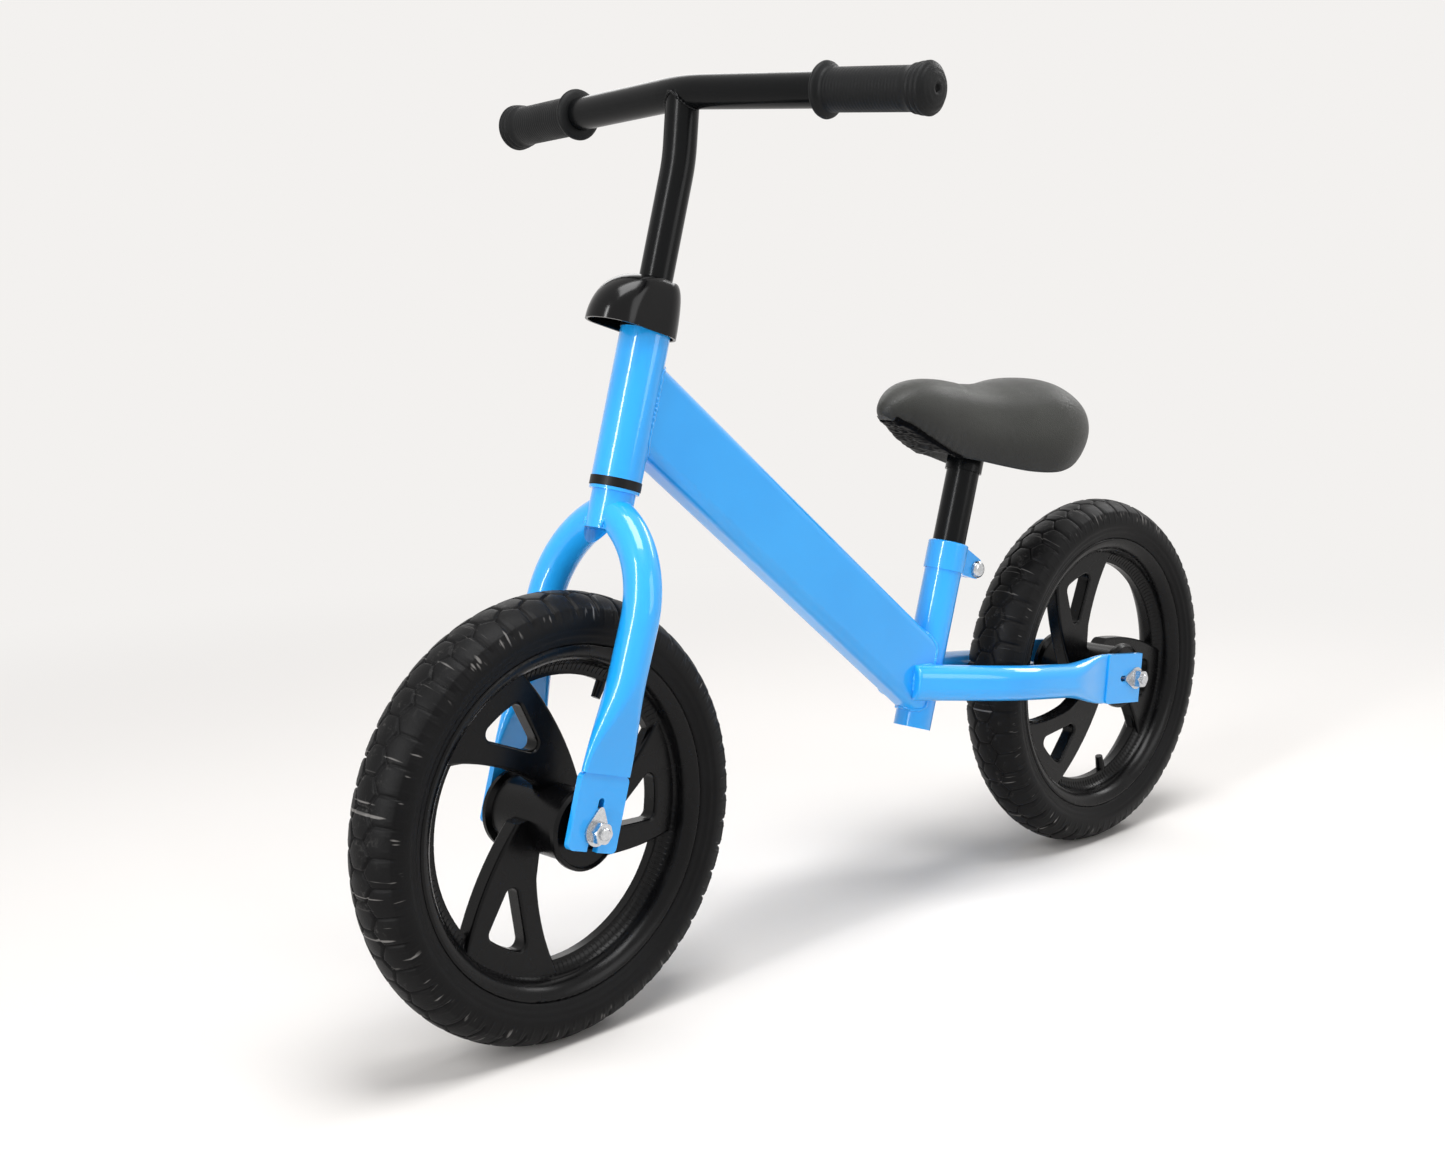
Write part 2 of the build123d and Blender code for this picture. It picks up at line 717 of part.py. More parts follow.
def bolt_and_nut(side, half_width, diameter):
    """A cap-head bolt through a pair of ears, and the hex nut that holds it."""
    with BuildPart() as bolt:
        with BuildSketch(side.offset(-half_width)):
            Circle(bolt_head_diameter / 2)
        extrude(amount=-bolt_head_height)
        fillet(bolt.faces().sort_by(Axis.Y)[-1].edges(), radius=bolt_head_height * 0.85)
        with BuildSketch(side.offset(-half_width)):
            Circle(diameter / 2)
        extrude(amount=2 * half_width + diameter)
    with BuildPart() as nut:
        with BuildSketch(side.offset(half_width)):
            RegularPolygon(diameter * 0.85, 6, major_radius=False)
            Circle(diameter / 2 + running_clearance, mode=Mode.SUBTRACT)
        extrude(amount=diameter * 0.8)
    return bolt, nut


stem_clamp_bolt, stem_clamp_nut = bolt_and_nut(stem_bolt_side, stem_ear_half, stem_bolt_diameter)
stem_clamp_bolt.part.label = "stem_clamp_bolt"
export_step(stem_clamp_bolt.part, "parts/stem_clamp_bolt.step")
stem_clamp_nut.part.label = "stem_clamp_nut"
export_step(stem_clamp_nut.part, "parts/stem_clamp_nut.step")

# Headset cover: a thin hood over the clamp, open below, with a visor ahead and a collar round the stem


def cover_outline(height, inset):
    """The hood's outline at a height: a wide arc ahead, a smaller one behind, joined by tangents."""
    squeeze = (1 - (height / cover_height) ** 2) ** 0.5
    ahead = stem_diameter / 2 + (cover_front - stem_diameter / 2) * squeeze - inset
    behind = stem_diameter / 2 + (cover_back - stem_diameter / 2) * squeeze ** 0.6 - inset
    half = stem_diameter / 2 + (cover_half_width - stem_diameter / 2) * squeeze ** 0.5 - inset
    nose_x = ahead - half
    tail_x = half - behind
    with BuildSketch(steer.offset(cover_bottom + height)) as outline:
        with BuildLine():
            Line((tail_x, -half), (nose_x, -half))
            ThreePointArc((nose_x, -half), (ahead, 0), (nose_x, half))
            Line((nose_x, half), (tail_x, half))
            ThreePointArc((tail_x, half), (-behind, 0), (tail_x, -half))
        make_face()
    return outline.sketch


with BuildPart() as headset_cover:
    loft(sections=[cover_outline(share * cover_height, 0) for share in (0, 0.35, 0.65, 0.85, 0.97)])
    loft(
        sections=[cover_outline(share * cover_height, cover_wall) for share in (0, 0.35, 0.65, 0.85)],
        mode=Mode.SUBTRACT,
    )
    with BuildSketch(steer.offset(steerer_top)):
        Circle(stem_diameter / 2 + face_clearance + cover_collar_wall)
    extrude(amount=cover_bottom + cover_height - 2 * cover_wall - steerer_top)
    with BuildSketch(steer.offset(cover_bottom)):
        Circle(stem_diameter / 2 + face_clearance)
    extrude(amount=2 * cover_height, mode=Mode.SUBTRACT)
headset_cover.part.label = "headset_cover"
export_step(headset_cover.part, "parts/headset_cover.step")

# Seat tube: upright through the frame's low joint, slit at the back of its top
seat_tube_radius = seat_tube_diameter / 2
seat_clamp_top = seat_clamp_bottom + seat_clamp_height
with BuildPart() as seat_tube:
    with BuildSketch(seat.offset(-seat_tube_drop)):
        Circle(seat_tube_radius)
        Circle(seat_tube_bore / 2, mode=Mode.SUBTRACT)
    extrude(amount=seat_tube_drop + seat_tube_rise)
    with BuildSketch(seat.offset(seat_tube_rise)):
        with Locations((-seat_tube_radius / 2, 0)):
            Rectangle(seat_tube_radius + 2, clamp_slit)
    extrude(amount=-clamp_slot_depth, mode=Mode.SUBTRACT)
seat_tube.part.label = "seat_tube"
export_step(seat_tube.part, "parts/seat_tube.step")

# Main tube: a rounded box section from head tube to seat tube, mitred to both
main_run = head_joint - junction
main_plane = Plane(origin=junction, x_dir=(0, 1, 0), z_dir=main_run)
with BuildPart() as main_tube:
    with BuildSketch(main_plane.offset(-seat_tube_diameter)):
        RectangleRounded(main_tube_width, main_tube_height, main_tube_corner)
        RectangleRounded(
            main_tube_width - 2 * main_tube_wall,
            main_tube_height - 2 * main_tube_wall,
            main_tube_corner - main_tube_wall,
            mode=Mode.SUBTRACT,
        )
    extrude(amount=main_run.length + seat_tube_diameter)
    with BuildSketch(steer.offset(head_bottom - head_tube_length)):
        Circle(head_tube_diameter / 2)
    extrude(amount=3 * head_tube_length, mode=Mode.SUBTRACT)
    split(bisect_by=Plane(origin=junction, x_dir=(0, 1, 0), z_dir=seat_ahead), keep=Keep.TOP)
    with BuildSketch(seat.offset(-2 * seat_tube_drop)):
        Circle(seat_tube_radius)
    extrude(amount=3 * seat_tube_rise, mode=Mode.SUBTRACT)
main_tube.part.label = "main_tube"
export_step(main_tube.part, "parts/main_tube.step")

# Rear stays: flat-sided tube bowed out round the tyre, pressed into a slotted plate at the axle
rear_plate_middle = rear_plate_gap / 2 + plate_thickness / 2
stay_lean = (rear_plate_middle - stay_knee_spread) / (stay_axle - stay_knee)
stay_foot_back = Vector(stay_back.X, stay_lean, stay_back.Z).normalized()
stay_up = stay_back.cross(Vector(0, 1, 0)) * -1


def stay_point(ahead):
    """Middle of the stay's rear stretch, at a distance ahead of the axle."""
    return stay_axle - ahead, rear_plate_middle - stay_lean * ahead


def stay_section(ahead):
    """A plane square to the stay's rear stretch."""
    origin = stay_plan.from_local_coords(stay_point(ahead))
    return Plane(origin=origin, x_dir=stay_up, z_dir=stay_foot_back)


def pressed_stay(share):
    """The stay's section at a share of the way from tube to plate."""
    ahead = stay_flat_start + (stay_flat_end - stay_flat_start) * share
    with BuildSketch(stay_section(ahead)) as section:
        SlotOverall(
            pressed(share, stay_height, stay_plate_height),
            pressed(share, stay_width, plate_thickness),
        )
    return section.sketch


stay_front_end = stay_plan.from_local_coords((-stay_front, stay_front_spread))
stay_ahead = stay_front_end - stay_plan.from_local_coords((stay_knee, stay_knee_spread))
with BuildPart() as left_stay:
    with BuildLine(stay_plan) as stay_path:
        FilletPolyline(
            stay_point(stay_flat_start),
            (stay_knee, stay_knee_spread),
            (-stay_front, stay_front_spread),
            radius=stay_bend_radius,
        )
    with BuildSketch(stay_section(stay_flat_start)):
        SlotOverall(stay_height, stay_width)
        offset(amount=-stay_wall, mode=Mode.SUBTRACT)
    sweep(path=stay_path.wire())
    with BuildSketch(Plane(origin=stay_front_end, x_dir=stay_up, z_dir=stay_ahead)):
        SlotOverall(stay_height, stay_width)
    extrude(amount=-stay_cap)
    fillet(left_stay.faces().sort_by(Axis(stay_front_end, stay_ahead))[-1].edges(), radius=stay_cap * 0.7)
    loft(sections=[pressed_stay(share / 4) for share in range(5)])
    with BuildSketch(stay_side.offset(-rear_plate_gap / 2)) as stay_foot:
        with Locations(((stay_plate_end - stay_flat_end) / 2, 0)):
            Rectangle(stay_flat_end + stay_plate_end, stay_plate_height)
        fillet(stay_foot.vertices().group_by(Axis.X)[0], radius=plate_corner)
    extrude(amount=-plate_thickness)
    add(main_tube.part, mode=Mode.SUBTRACT)
    with BuildSketch(seat.offset(-2 * seat_tube_drop)):
        Circle(seat_tube_radius)
    extrude(amount=3 * seat_tube_rise, mode=Mode.SUBTRACT)
    split(bisect_by=Plane.XZ.offset(-main_tube_width / 2), keep=Keep.BOTTOM)
    with BuildSketch(stay_side):
        Circle(axle_radius + slot_clearance)
        with Locations((stay_plate_end, 0)):
            Rectangle(2 * stay_plate_end, axle_diameter + 2 * slot_clearance)
        with Locations((-hook_hole_middle, 0)):
            SlotOverall(hook_hole_length, hook_diameter + 2 * slot_clearance)
    extrude(amount=-rear_plate_gap, mode=Mode.SUBTRACT)
left_stay.part.label = "left_stay"
export_step(left_stay.part, "parts/left_stay.step")

with BuildPart() as right_stay:
    mirror(left_stay.part, about=Plane.XZ)
right_stay.part.label = "right_stay"
export_step(right_stay.part, "parts/right_stay.step")

# Seat clamp: a split collar over the seat tube's top, its ears drawn together by a bolt behind
seat_clamp_radius = seat_tube_radius + seat_clamp_wall
seat_ear_half = clamp_slit / 2 + seat_ear_thickness
seat_ear_reach = seat_bolt_back + seat_bolt_diameter * 0.8
seat_bolt_height = seat_clamp_bottom + seat_ear_height / 2
seat_bolt_side = Plane(
    origin=junction + seat_up * seat_bolt_height - seat_ahead * seat_bolt_back,
    x_dir=seat_ahead,
    z_dir=(0, -1, 0),
)
with BuildPart() as seat_clamp:
    with BuildSketch(seat.offset(seat_clamp_bottom)):
        Circle(seat_clamp_radius)
    extrude(amount=seat_clamp_height)
    fillet(seat_clamp.faces().sort_by(Axis.Z)[-1].edges(), radius=seat_clamp_wall)
    with BuildSketch(seat_side) as ear_outline:
        with BuildLine():
            Polyline(
                (0, seat_clamp_bottom),
                (-seat_ear_reach, seat_clamp_bottom),
                (-seat_ear_reach, seat_clamp_bottom + seat_ear_height),
                (-seat_clamp_radius, seat_clamp_top - seat_clamp_wall),
                (0, seat_clamp_top - seat_clamp_wall),
                close=True,
            )
        make_face()
        fillet(ear_outline.vertices().sort_by(Axis.X)[0:2], radius=seat_ear_height * 0.3)
    extrude(amount=seat_ear_half, both=True)
    with BuildSketch(seat.offset(seat_clamp_bottom)):
        Circle(seat_tube_radius + seat_clearance)
    extrude(amount=seat_tube_rise - seat_clamp_bottom + seat_clearance, mode=Mode.SUBTRACT)
    with BuildSketch(seat.offset(seat_clamp_bottom)):
        Circle(seat_post_diameter / 2 + face_clearance)
        with Locations((-seat_ear_reach / 2 - 1, 0)):
            Rectangle(seat_ear_reach + 2, clamp_slit)
    extrude(amount=seat_clamp_height, mode=Mode.SUBTRACT)
    with BuildSketch(seat_bolt_side):
        Circle(seat_bolt_diameter / 2 + bolt_clearance)
    extrude(amount=seat_ear_half + 1, both=True, mode=Mode.SUBTRACT)
seat_clamp.part.label = "seat_clamp"
export_step(seat_clamp.part, "parts/seat_clamp.step")

seat_clamp_bolt, seat_clamp_nut = bolt_and_nut(seat_bolt_side, seat_ear_half, seat_bolt_diameter)
seat_clamp_bolt.part.label = "seat_clamp_bolt"
export_step(seat_clamp_bolt.part, "parts/seat_clamp_bolt.step")
seat_clamp_nut.part.label = "seat_clamp_nut"
export_step(seat_clamp_nut.part, "parts/seat_clamp_nut.step")

# Seat post: up from the seat tube into the socket under the saddle
seat_slope = 1 / tan(radians(seat_angle))
post_radius = seat_post_diameter / 2
bracket_rise = (bracket_height - junction_height) / sin(radians(seat_angle))
post_top = bracket_rise - post_radius * seat_slope - face_clearance
with BuildPart() as seat_post:
    with BuildSketch(seat.offset(seat_post_bottom)):
        Circle(post_radius)
        Circle(post_radius - seat_post_wall, mode=Mode.SUBTRACT)
    extrude(amount=post_top - seat_post_bottom)
seat_post.part.label = "seat_post"
export_step(seat_post.part, "parts/seat_post.step")

# Saddle bracket: a steel plate with the socket that takes the post
bracket_x = junction_x - (bracket_height - junction_height) * seat_slope
bracket_top = bracket_height + bracket_thickness
saddle_nose_x = bracket_x + saddle_nose_ahead
socket_radius = post_radius + seat_clearance + socket_wall
with BuildPart() as saddle_bracket:
    with BuildSketch(seat.offset(post_top - socket_length)):
        Circle(socket_radius)
    extrude(amount=socket_length + 2 * socket_radius)
    split(bisect_by=Plane.XY.offset(bracket_height + bracket_thickness / 2), keep=Keep.BOTTOM)
    with BuildSketch(seat.offset(post_top - socket_length)):
        Circle(post_radius + seat_clearance)
    extrude(amount=socket_length + 2 * socket_radius, mode=Mode.SUBTRACT)
    with BuildSketch(Plane.XY.offset(bracket_height)):
        with Locations((bracket_x, 0)):
            RectangleRounded(bracket_length, bracket_width, 6)
            with GridLocations(screw_spacing_x, screw_spacing_y, 2, 2):
                Circle(screw_diameter / 2 + bolt_clearance, mode=Mode.SUBTRACT)
    extrude(amount=bracket_thickness)
saddle_bracket.part.label = "saddle_bracket"
export_step(saddle_bracket.part, "parts/saddle_bracket.step")

# Saddle pan: the moulded board that the cushion is drawn over


def pan_outline(grow):
    """The pan's plan: a small nose arc and a broad rear arc, joined by tangents."""
    with Locations((bracket_x + pan_nose_ahead, 0)):
        Circle(pan_nose_radius + grow)
    with Locations((bracket_x - pan_rear_behind, 0)):
        Circle(pan_rear_radius + grow)
    make_hull()


with BuildPart() as saddle_pan:
    with BuildSketch(Plane.XY.offset(bracket_top)):
        pan_outline(0)
        with Locations((bracket_x, 0)):
            with GridLocations(screw_spacing_x, screw_spacing_y, 2, 2):
                Circle(screw_diameter / 2 + bolt_clearance, mode=Mode.SUBTRACT)
    extrude(amount=pan_thickness)
saddle_pan.part.label = "saddle_pan"
export_step(saddle_pan.part, "parts/saddle_pan.step")

with BuildPart() as saddle_screws:
    with BuildSketch(Plane.XY.offset(bracket_height)):
        with Locations((bracket_x, 0)):
            with GridLocations(screw_spacing_x, screw_spacing_y, 2, 2):
                Circle(screw_diameter * 0.85)
    extrude(amount=-screw_diameter * 0.5)
    with BuildSketch(Plane.XY.offset(bracket_height)):
        with Locations((bracket_x, 0)):
            with GridLocations(screw_spacing_x, screw_spacing_y, 2, 2):
                Circle(screw_diameter / 2)
    extrude(amount=bracket_thickness + pan_thickness - face_clearance)
saddle_screws.part.label = "saddle_screws"
export_step(saddle_screws.part, "parts/saddle_screws.step")

# Saddle cushion: narrow deep nose, broad crowned rear, sides drawn in under the pan


def cushion_section(share, foot_share, wide_share, foot_drop, crown_drop):
    """Across the cushion at a share of its length: flat foot, bulging sides, crowned top.
    The widths are shares of its greatest half width, and the drops of its depth."""
    x = saddle_nose_x - share * saddle_length
    foot_half = saddle_half_width * foot_share
    widest = saddle_half_width * wide_share
    foot_z = saddle_height - saddle_depth * foot_drop
    top_z = saddle_height - saddle_depth * crown_drop
    depth = top_z - foot_z
    shoulder_half = widest * 0.86
    shoulder_z = top_z - depth * 0.2
    bulge_z = foot_z + depth * 0.42
    with BuildSketch(Plane(origin=(x, 0, 0), x_dir=(0, 1, 0), z_dir=(1, 0, 0))) as section:
        with BuildLine():
            Line((-foot_half, foot_z), (foot_half, foot_z))
            ThreePointArc((foot_half, foot_z), (widest, bulge_z), (shoulder_half, shoulder_z))
            ThreePointArc((shoulder_half, shoulder_z), (0, top_z), (-shoulder_half, shoulder_z))
            ThreePointArc((-shoulder_half, shoulder_z), (-widest, bulge_z), (-foot_half, foot_z))
        make_face()
    return section.sketch


with BuildPart() as saddle_cushion:
    loft(
        sections=[
            cushion_section(0.0, 0.085, 0.136, 0.382, 0.184),
            cushion_section(0.08, 0.186, 0.305, 0.48, 0.053),
            cushion_section(0.17, 0.254, 0.39, 0.632, 0.007),
            cushion_section(0.28, 0.305, 0.424, 0.776, 0.033),
            cushion_section(0.5, 0.525, 0.644, 0.882, 0.125),
            cushion_section(0.71, 0.847, 1.0, 1.0, 0.079),
            cushion_section(0.9, 0.678, 0.831, 0.908, 0.118),
            cushion_section(1.0, 0.288, 0.424, 0.697, 0.289),
        ]
    )
    with BuildSketch(Plane.XY.offset(bracket_top + pan_thickness + face_clearance)):
        pan_outline(face_clearance)
    extrude(amount=-saddle_depth, mode=Mode.SUBTRACT)
saddle_cushion.part.label = "saddle_cushion"
export_step(saddle_cushion.part, "parts/saddle_cushion.step")

# Handlebar: one tube with a gentle bend in the middle
bar_radius = bar_diameter / 2
stem_bend = front_axle_centre + steer_up * stem_knee
bar_middle = stem_bend + Vector(-bar_behind_knee, 0, bar_above_knee)
bar_left_end = bar_middle + Vector(-bar_sweep, bar_width / 2, -bar_drop)
bar_left = (bar_left_end - bar_middle).normalized()
bar_tube_left = bar_left_end - bar_left * (grip_cap + face_clearance)
bar_tube_right = Vector(bar_tube_left.X, -bar_tube_left.Y, bar_tube_left.Z)
with BuildPart() as handlebar_tube:
    with BuildLine() as bar_path:
        FilletPolyline(bar_tube_right, bar_middle, bar_tube_left, radius=bar_bend_radius)
    with BuildSketch(Plane(origin=bar_tube_right, z_dir=bar_middle - bar_tube_right)):
        Circle(bar_radius)
        Circle(bar_radius - bar_wall, mode=Mode.SUBTRACT)
    sweep(path=bar_path.wire())
handlebar_tube.part.label = "handlebar_tube"
export_step(handlebar_tube.part, "parts/handlebar_tube.step")

# Stem: slides in the steerer, bends forward near its top and is mitred to the bar
stem_foot = front_axle_centre + steer_up * stem_bottom
with BuildPart() as stem_tube:
    with BuildLine() as stem_path:
        FilletPolyline(stem_foot, stem_bend, bar_middle, radius=stem_bend_radius)
    with BuildSketch(steer.offset(stem_bottom)):
        Circle(stem_diameter / 2)
        Circle(stem_diameter / 2 - stem_wall, mode=Mode.SUBTRACT)
    sweep(path=stem_path.wire())
    with BuildLine() as bar_axis:
        FilletPolyline(bar_tube_right, bar_middle, bar_tube_left, radius=bar_bend_radius)
    with BuildSketch(Plane(origin=bar_tube_right, z_dir=bar_middle - bar_tube_right)):
        Circle(bar_radius + face_clearance)
    sweep(path=bar_axis.wire(), mode=Mode.SUBTRACT)
stem_tube.part.label = "stem_tube"
export_step(stem_tube.part, "parts/stem_tube.step")

# Grips: rubber sleeves with a flange at the inside and a stepped, capped end
grip_side = Plane(origin=bar_left_end, x_dir=bar_left, z_dir=bar_left.cross(Vector(0, 0, 1)))
grip_bore = bar_radius + seat_clearance
with BuildPart() as left_grip:
    with BuildSketch(grip_side):
        with BuildLine():
            Polyline(
                (-grip_cap, grip_hole_diameter / 2),
                (0, grip_hole_diameter / 2),
                (0, grip_end_diameter / 2 - 7),
                (-2, grip_end_diameter / 2 - 2.5),
                (-5, grip_end_diameter / 2),
                (-grip_end_width, grip_end_diameter / 2),
                (-grip_end_width - grip_end_taper / 2, (grip_end_diameter + grip_diameter) / 4 + 0.8),
                (-grip_end_width - grip_end_taper, grip_diameter / 2),
                (grip_flange_width - grip_length, grip_diameter / 2),
                (grip_flange_width * 0.6 - grip_length, grip_flange_diameter / 2),
                (grip_flange_width * 0.25 - grip_length, grip_flange_diameter / 2),
                (-grip_length, grip_flange_diameter / 2 - 3),
                (-grip_length, grip_bore),
                (-grip_cap, grip_bore),
                close=True,
            )
        make_face()
    revolve(axis=Axis(bar_left_end, bar_left))
left_grip.part.label = "left_grip"
export_step(left_grip.part, "parts/left_grip.step")

with BuildPart() as right_grip:
    mirror(left_grip.part, about=Plane.XZ)
right_grip.part.label = "right_grip"
export_step(right_grip.part, "parts/right_grip.step")
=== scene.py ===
# %% [markdown]
# # A small balance bike
#
# The bike's tubes, wheels, axles and clamps come ready-made from the CAD frame, each one in its
# place. This lesson dresses them. It gives every surface the finish of the real one, and it models
# what a CAD solid shows too plainly: the tread of the foam tyres, the ribs round the rims, the ringed
# grips, the stuffed saddle and the weld beads.

# %% Load the frame
from math import acos, atan2, cos, pi, radians, sin, sqrt

import bmesh
import bpy
from mathutils import Matrix, Vector, noise


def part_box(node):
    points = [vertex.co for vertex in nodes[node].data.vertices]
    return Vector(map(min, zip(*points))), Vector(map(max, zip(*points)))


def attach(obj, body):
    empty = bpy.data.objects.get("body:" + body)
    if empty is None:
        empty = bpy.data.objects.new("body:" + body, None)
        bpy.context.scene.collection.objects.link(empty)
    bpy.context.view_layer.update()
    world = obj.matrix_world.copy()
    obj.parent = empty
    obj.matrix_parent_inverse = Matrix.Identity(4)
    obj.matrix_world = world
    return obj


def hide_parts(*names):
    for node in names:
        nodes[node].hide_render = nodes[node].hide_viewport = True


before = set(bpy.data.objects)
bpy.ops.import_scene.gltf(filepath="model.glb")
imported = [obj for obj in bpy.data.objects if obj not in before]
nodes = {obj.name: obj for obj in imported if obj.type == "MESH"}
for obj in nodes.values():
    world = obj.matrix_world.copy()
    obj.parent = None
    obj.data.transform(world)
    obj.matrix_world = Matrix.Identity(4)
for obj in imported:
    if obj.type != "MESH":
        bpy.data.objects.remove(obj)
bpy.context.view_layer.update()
scene = bpy.context.scene
mm = 0.001

# %% [markdown]
# ## The sizes that the new pieces share with the frame
#
# A piece that is modelled here has to sit on its neighbour, so the few sizes that it needs are
# repeated from the CAD model. Two directions come up again and again: the steering axis, which
# leans back, and the seat tube, which leans back about as much.

# %% Shared sizes
half_wheelbase = 295 * mm
axle_height = 146 * mm
steer_angle = radians(73.3)
seat_angle = radians(72.2)
front_axle = Vector((half_wheelbase, 0, axle_height))
rear_axle = Vector((-half_wheelbase, 0, axle_height))
steer_up = Vector((-cos(steer_angle), 0, sin(steer_angle)))
steer_ahead = Vector((sin(steer_angle), 0, cos(steer_angle)))
seat_up = Vector((-cos(seat_angle), 0, sin(seat_angle)))
across = Vector((0, 1, 0))
junction = Vector((-74.8 * mm, 0, 174.7 * mm))
head_joint = front_axle + steer_up * 273 * mm
blade_joint = front_axle + steer_up * 192.6 * mm
stem_knee = front_axle + steer_up * 430.6 * mm
bar_middle = Vector((166.4 * mm, 0, 602 * mm))
bar_end = Vector((149.8 * mm, 196.5 * mm, 591 * mm))
print("head joint", [round(part, 4) for part in head_joint])

# %% [markdown]
# ## Helpers for finishes
#
# A finish is a node tree, and most of its code would be the same three steps: add a node, set
# it, link it. One function does that for every node. Colours are picked as sRGB hex values, as
# on a screen, and shaders want linear light, so a second function turns one into the other.

# %% Colour and node helpers
shader_name = "Principled BSDF"


def linear(code):
    """A hex colour as linear red, green, blue and a full alpha."""
    parts = [int(code[at:at + 2], 16) / 255 for at in (1, 3, 5)]
    light = [part / 12.92 if part <= 0.04045 else ((part + 0.055) / 1.055) ** 2.4 for part in parts]
    return (*light, 1.0)


def add_node(tree, kind, values=None, links=None, **settings):
    """A node with its settings, its socket values and the links that come into it."""
    made = tree.nodes.new(kind)
    for name, value in settings.items():
        setattr(made, name, value)
    for socket, value in (values or {}).items():
        made.inputs[socket].default_value = value
    for socket, source in (links or {}).items():
        tree.links.new(source, made.inputs[socket])
    return made


def new_finish(name, **values):
    """A material, its tree and its object coordinates."""
    material = bpy.data.materials.new(name)
    material.use_nodes = True
    tree = material.node_tree
    for socket, value in values.items():
        tree.nodes[shader_name].inputs[socket.replace("_", " ")].default_value = value
    return material, tree, add_node(tree, "ShaderNodeTexCoord").outputs["Object"]


print("sky blue in linear light:", [round(part, 3) for part in linear("#1ba6f9")])

# %% [markdown]
# A few patterns come up in nearly every finish: noise, cells, a change of range, a sum, and a ramp
# between two colours. Each of these functions adds one node and hands back the socket that carries
# its result. A scale counts the pattern's bumps in a metre.

# %% Patterns
def noise_on(tree, place, scale, detail, rough=0.5):
    """Cloudy noise, with finer noise on top of it where there is more detail."""
    values = {"Scale": scale, "Detail": detail, "Roughness": rough}
    return add_node(tree, "ShaderNodeTexNoise", values, {"Vector": place}).outputs["Fac"]


def cells_on(tree, place, scale, **settings):
    """The distance to a cell's middle, or to its edge if the settings say so."""
    made = add_node(tree, "ShaderNodeTexVoronoi", {"Scale": scale}, {"Vector": place}, **settings)
    return made.outputs["Distance"]


def remap(tree, source, start=0.0, stop=1.0, low=0.0, high=1.0, **settings):
    """A value that goes from low to high while its source goes from start to stop."""
    values = {"From Min": start, "From Max": stop, "To Min": low, "To Max": high}
    return add_node(tree, "ShaderNodeMapRange", values, {"Value": source}, **settings).outputs["Result"]


def calculate(tree, operation, *parts):
    """A sum of one or two parts, each of them a socket or a plain number."""
    made = add_node(tree, "ShaderNodeMath", operation=operation)
    for at, part in enumerate(parts):
        if isinstance(part, float):
            made.inputs[at].default_value = part
        else:
            tree.links.new(part, made.inputs[at])
    return made.outputs[0]


def ramp(tree, source, low, high, ends=(0.0, 1.0)):
    """Two hex colours, blended while the source goes from one end to the other."""
    made = add_node(tree, "ShaderNodeValToRGB", links={"Fac": source})
    for stop, position, code in zip(made.color_ramp.elements, ends, (low, high)):
        stop.position = position
        stop.color = linear(code)
    return made.outputs["Color"]


print("patterns: noise, cells, remap, sum and ramp")

# %% [markdown]
# What makes one black differ from another is how rough it is and how fine its relief is. These
# functions let the shader follow a pattern.

# %% Colour, roughness and relief
def feed(tree, socket, source):
    """Link a pattern to one of the shader's inputs."""
    tree.links.new(source, tree.nodes[shader_name].inputs[socket])


def set_roughness(tree, source, low, high, start=0.0, stop=1.0):
    """Let the roughness follow a pattern."""
    feed(tree, "Roughness", remap(tree, source, start, stop, low, high))


def set_relief(tree, height, strength, distance, sockets=("Normal",)):
    """Let relief that is too fine for the mesh follow a pattern."""
    values = {"Strength": strength, "Distance": distance}
    made = add_node(tree, "ShaderNodeBump", values, {"Height": height})
    for socket in sockets:
        feed(tree, socket, made.outputs["Normal"])


print("the shader's inputs follow patterns")

# %% [markdown]
# ## Blue enamel on steel tube
#
# The frame and fork are welded steel, sprayed sky blue and baked under a clear coat. The eye
# reads it from sharp white streaks over a soft body colour, and from the faint orange peel that
# makes those streaks wander. The peel's bumps are about 2 mm wide, so the noise has 500 of them
# in a metre. The coat is its own layer on the shader, with its own roughness.

# %% Blue enamel
blue_enamel, tree, place = new_finish(
    "blue_enamel_on_steel", Roughness=0.34, Specular_IOR_Level=0.25,
    Coat_Weight=0.9, Coat_Roughness=0.05, Coat_IOR=1.5,
)
drift = noise_on(tree, place, 9.0, 2.0)
tint = ramp(tree, drift, "#1aa1f4", "#26acfc", (0.3, 0.7))
feed(tree, "Base Color", tint)
peel = noise_on(tree, place, 500.0, 1.0)
set_relief(tree, peel, 0.12, 0.12 * mm, ("Coat Normal", "Normal"))
print(blue_enamel.name, "has", len(tree.nodes), "nodes")

# %% [markdown]
# ## Black enamel on the stem, bar and post
#
# These tubes slide and get clamped, so their black paint is thinner and harder. It gives one
# narrow bright line along each tube. Dust and rubbing break the shine up a little, which comes
# from a slow noise on the roughness.

# %% Black enamel
black_enamel, tree, place = new_finish(
    "black_enamel_on_steel", Base_Color=linear("#0a0b0c"), Specular_IOR_Level=0.13,
)
rub = noise_on(tree, place, 40.0, 4.0)
set_roughness(tree, rub, 0.16, 0.3)
peel = noise_on(tree, place, 420.0, 1.0)
set_relief(tree, peel, 0.12, 0.12 * mm)
print(black_enamel.name, "roughness 0.16 to 0.30")

# %% [markdown]
# ## Moulded wheel plastic
#
# The wheel cores are injection-moulded nylon, black right through, from a polished mould. They
# shine on every step of the rim, with a soft unevenness where the thick parts shrank as they
# cooled. Those sink marks are about 12 mm wide. Handling has left the shine a little duller in
# some places than in others.

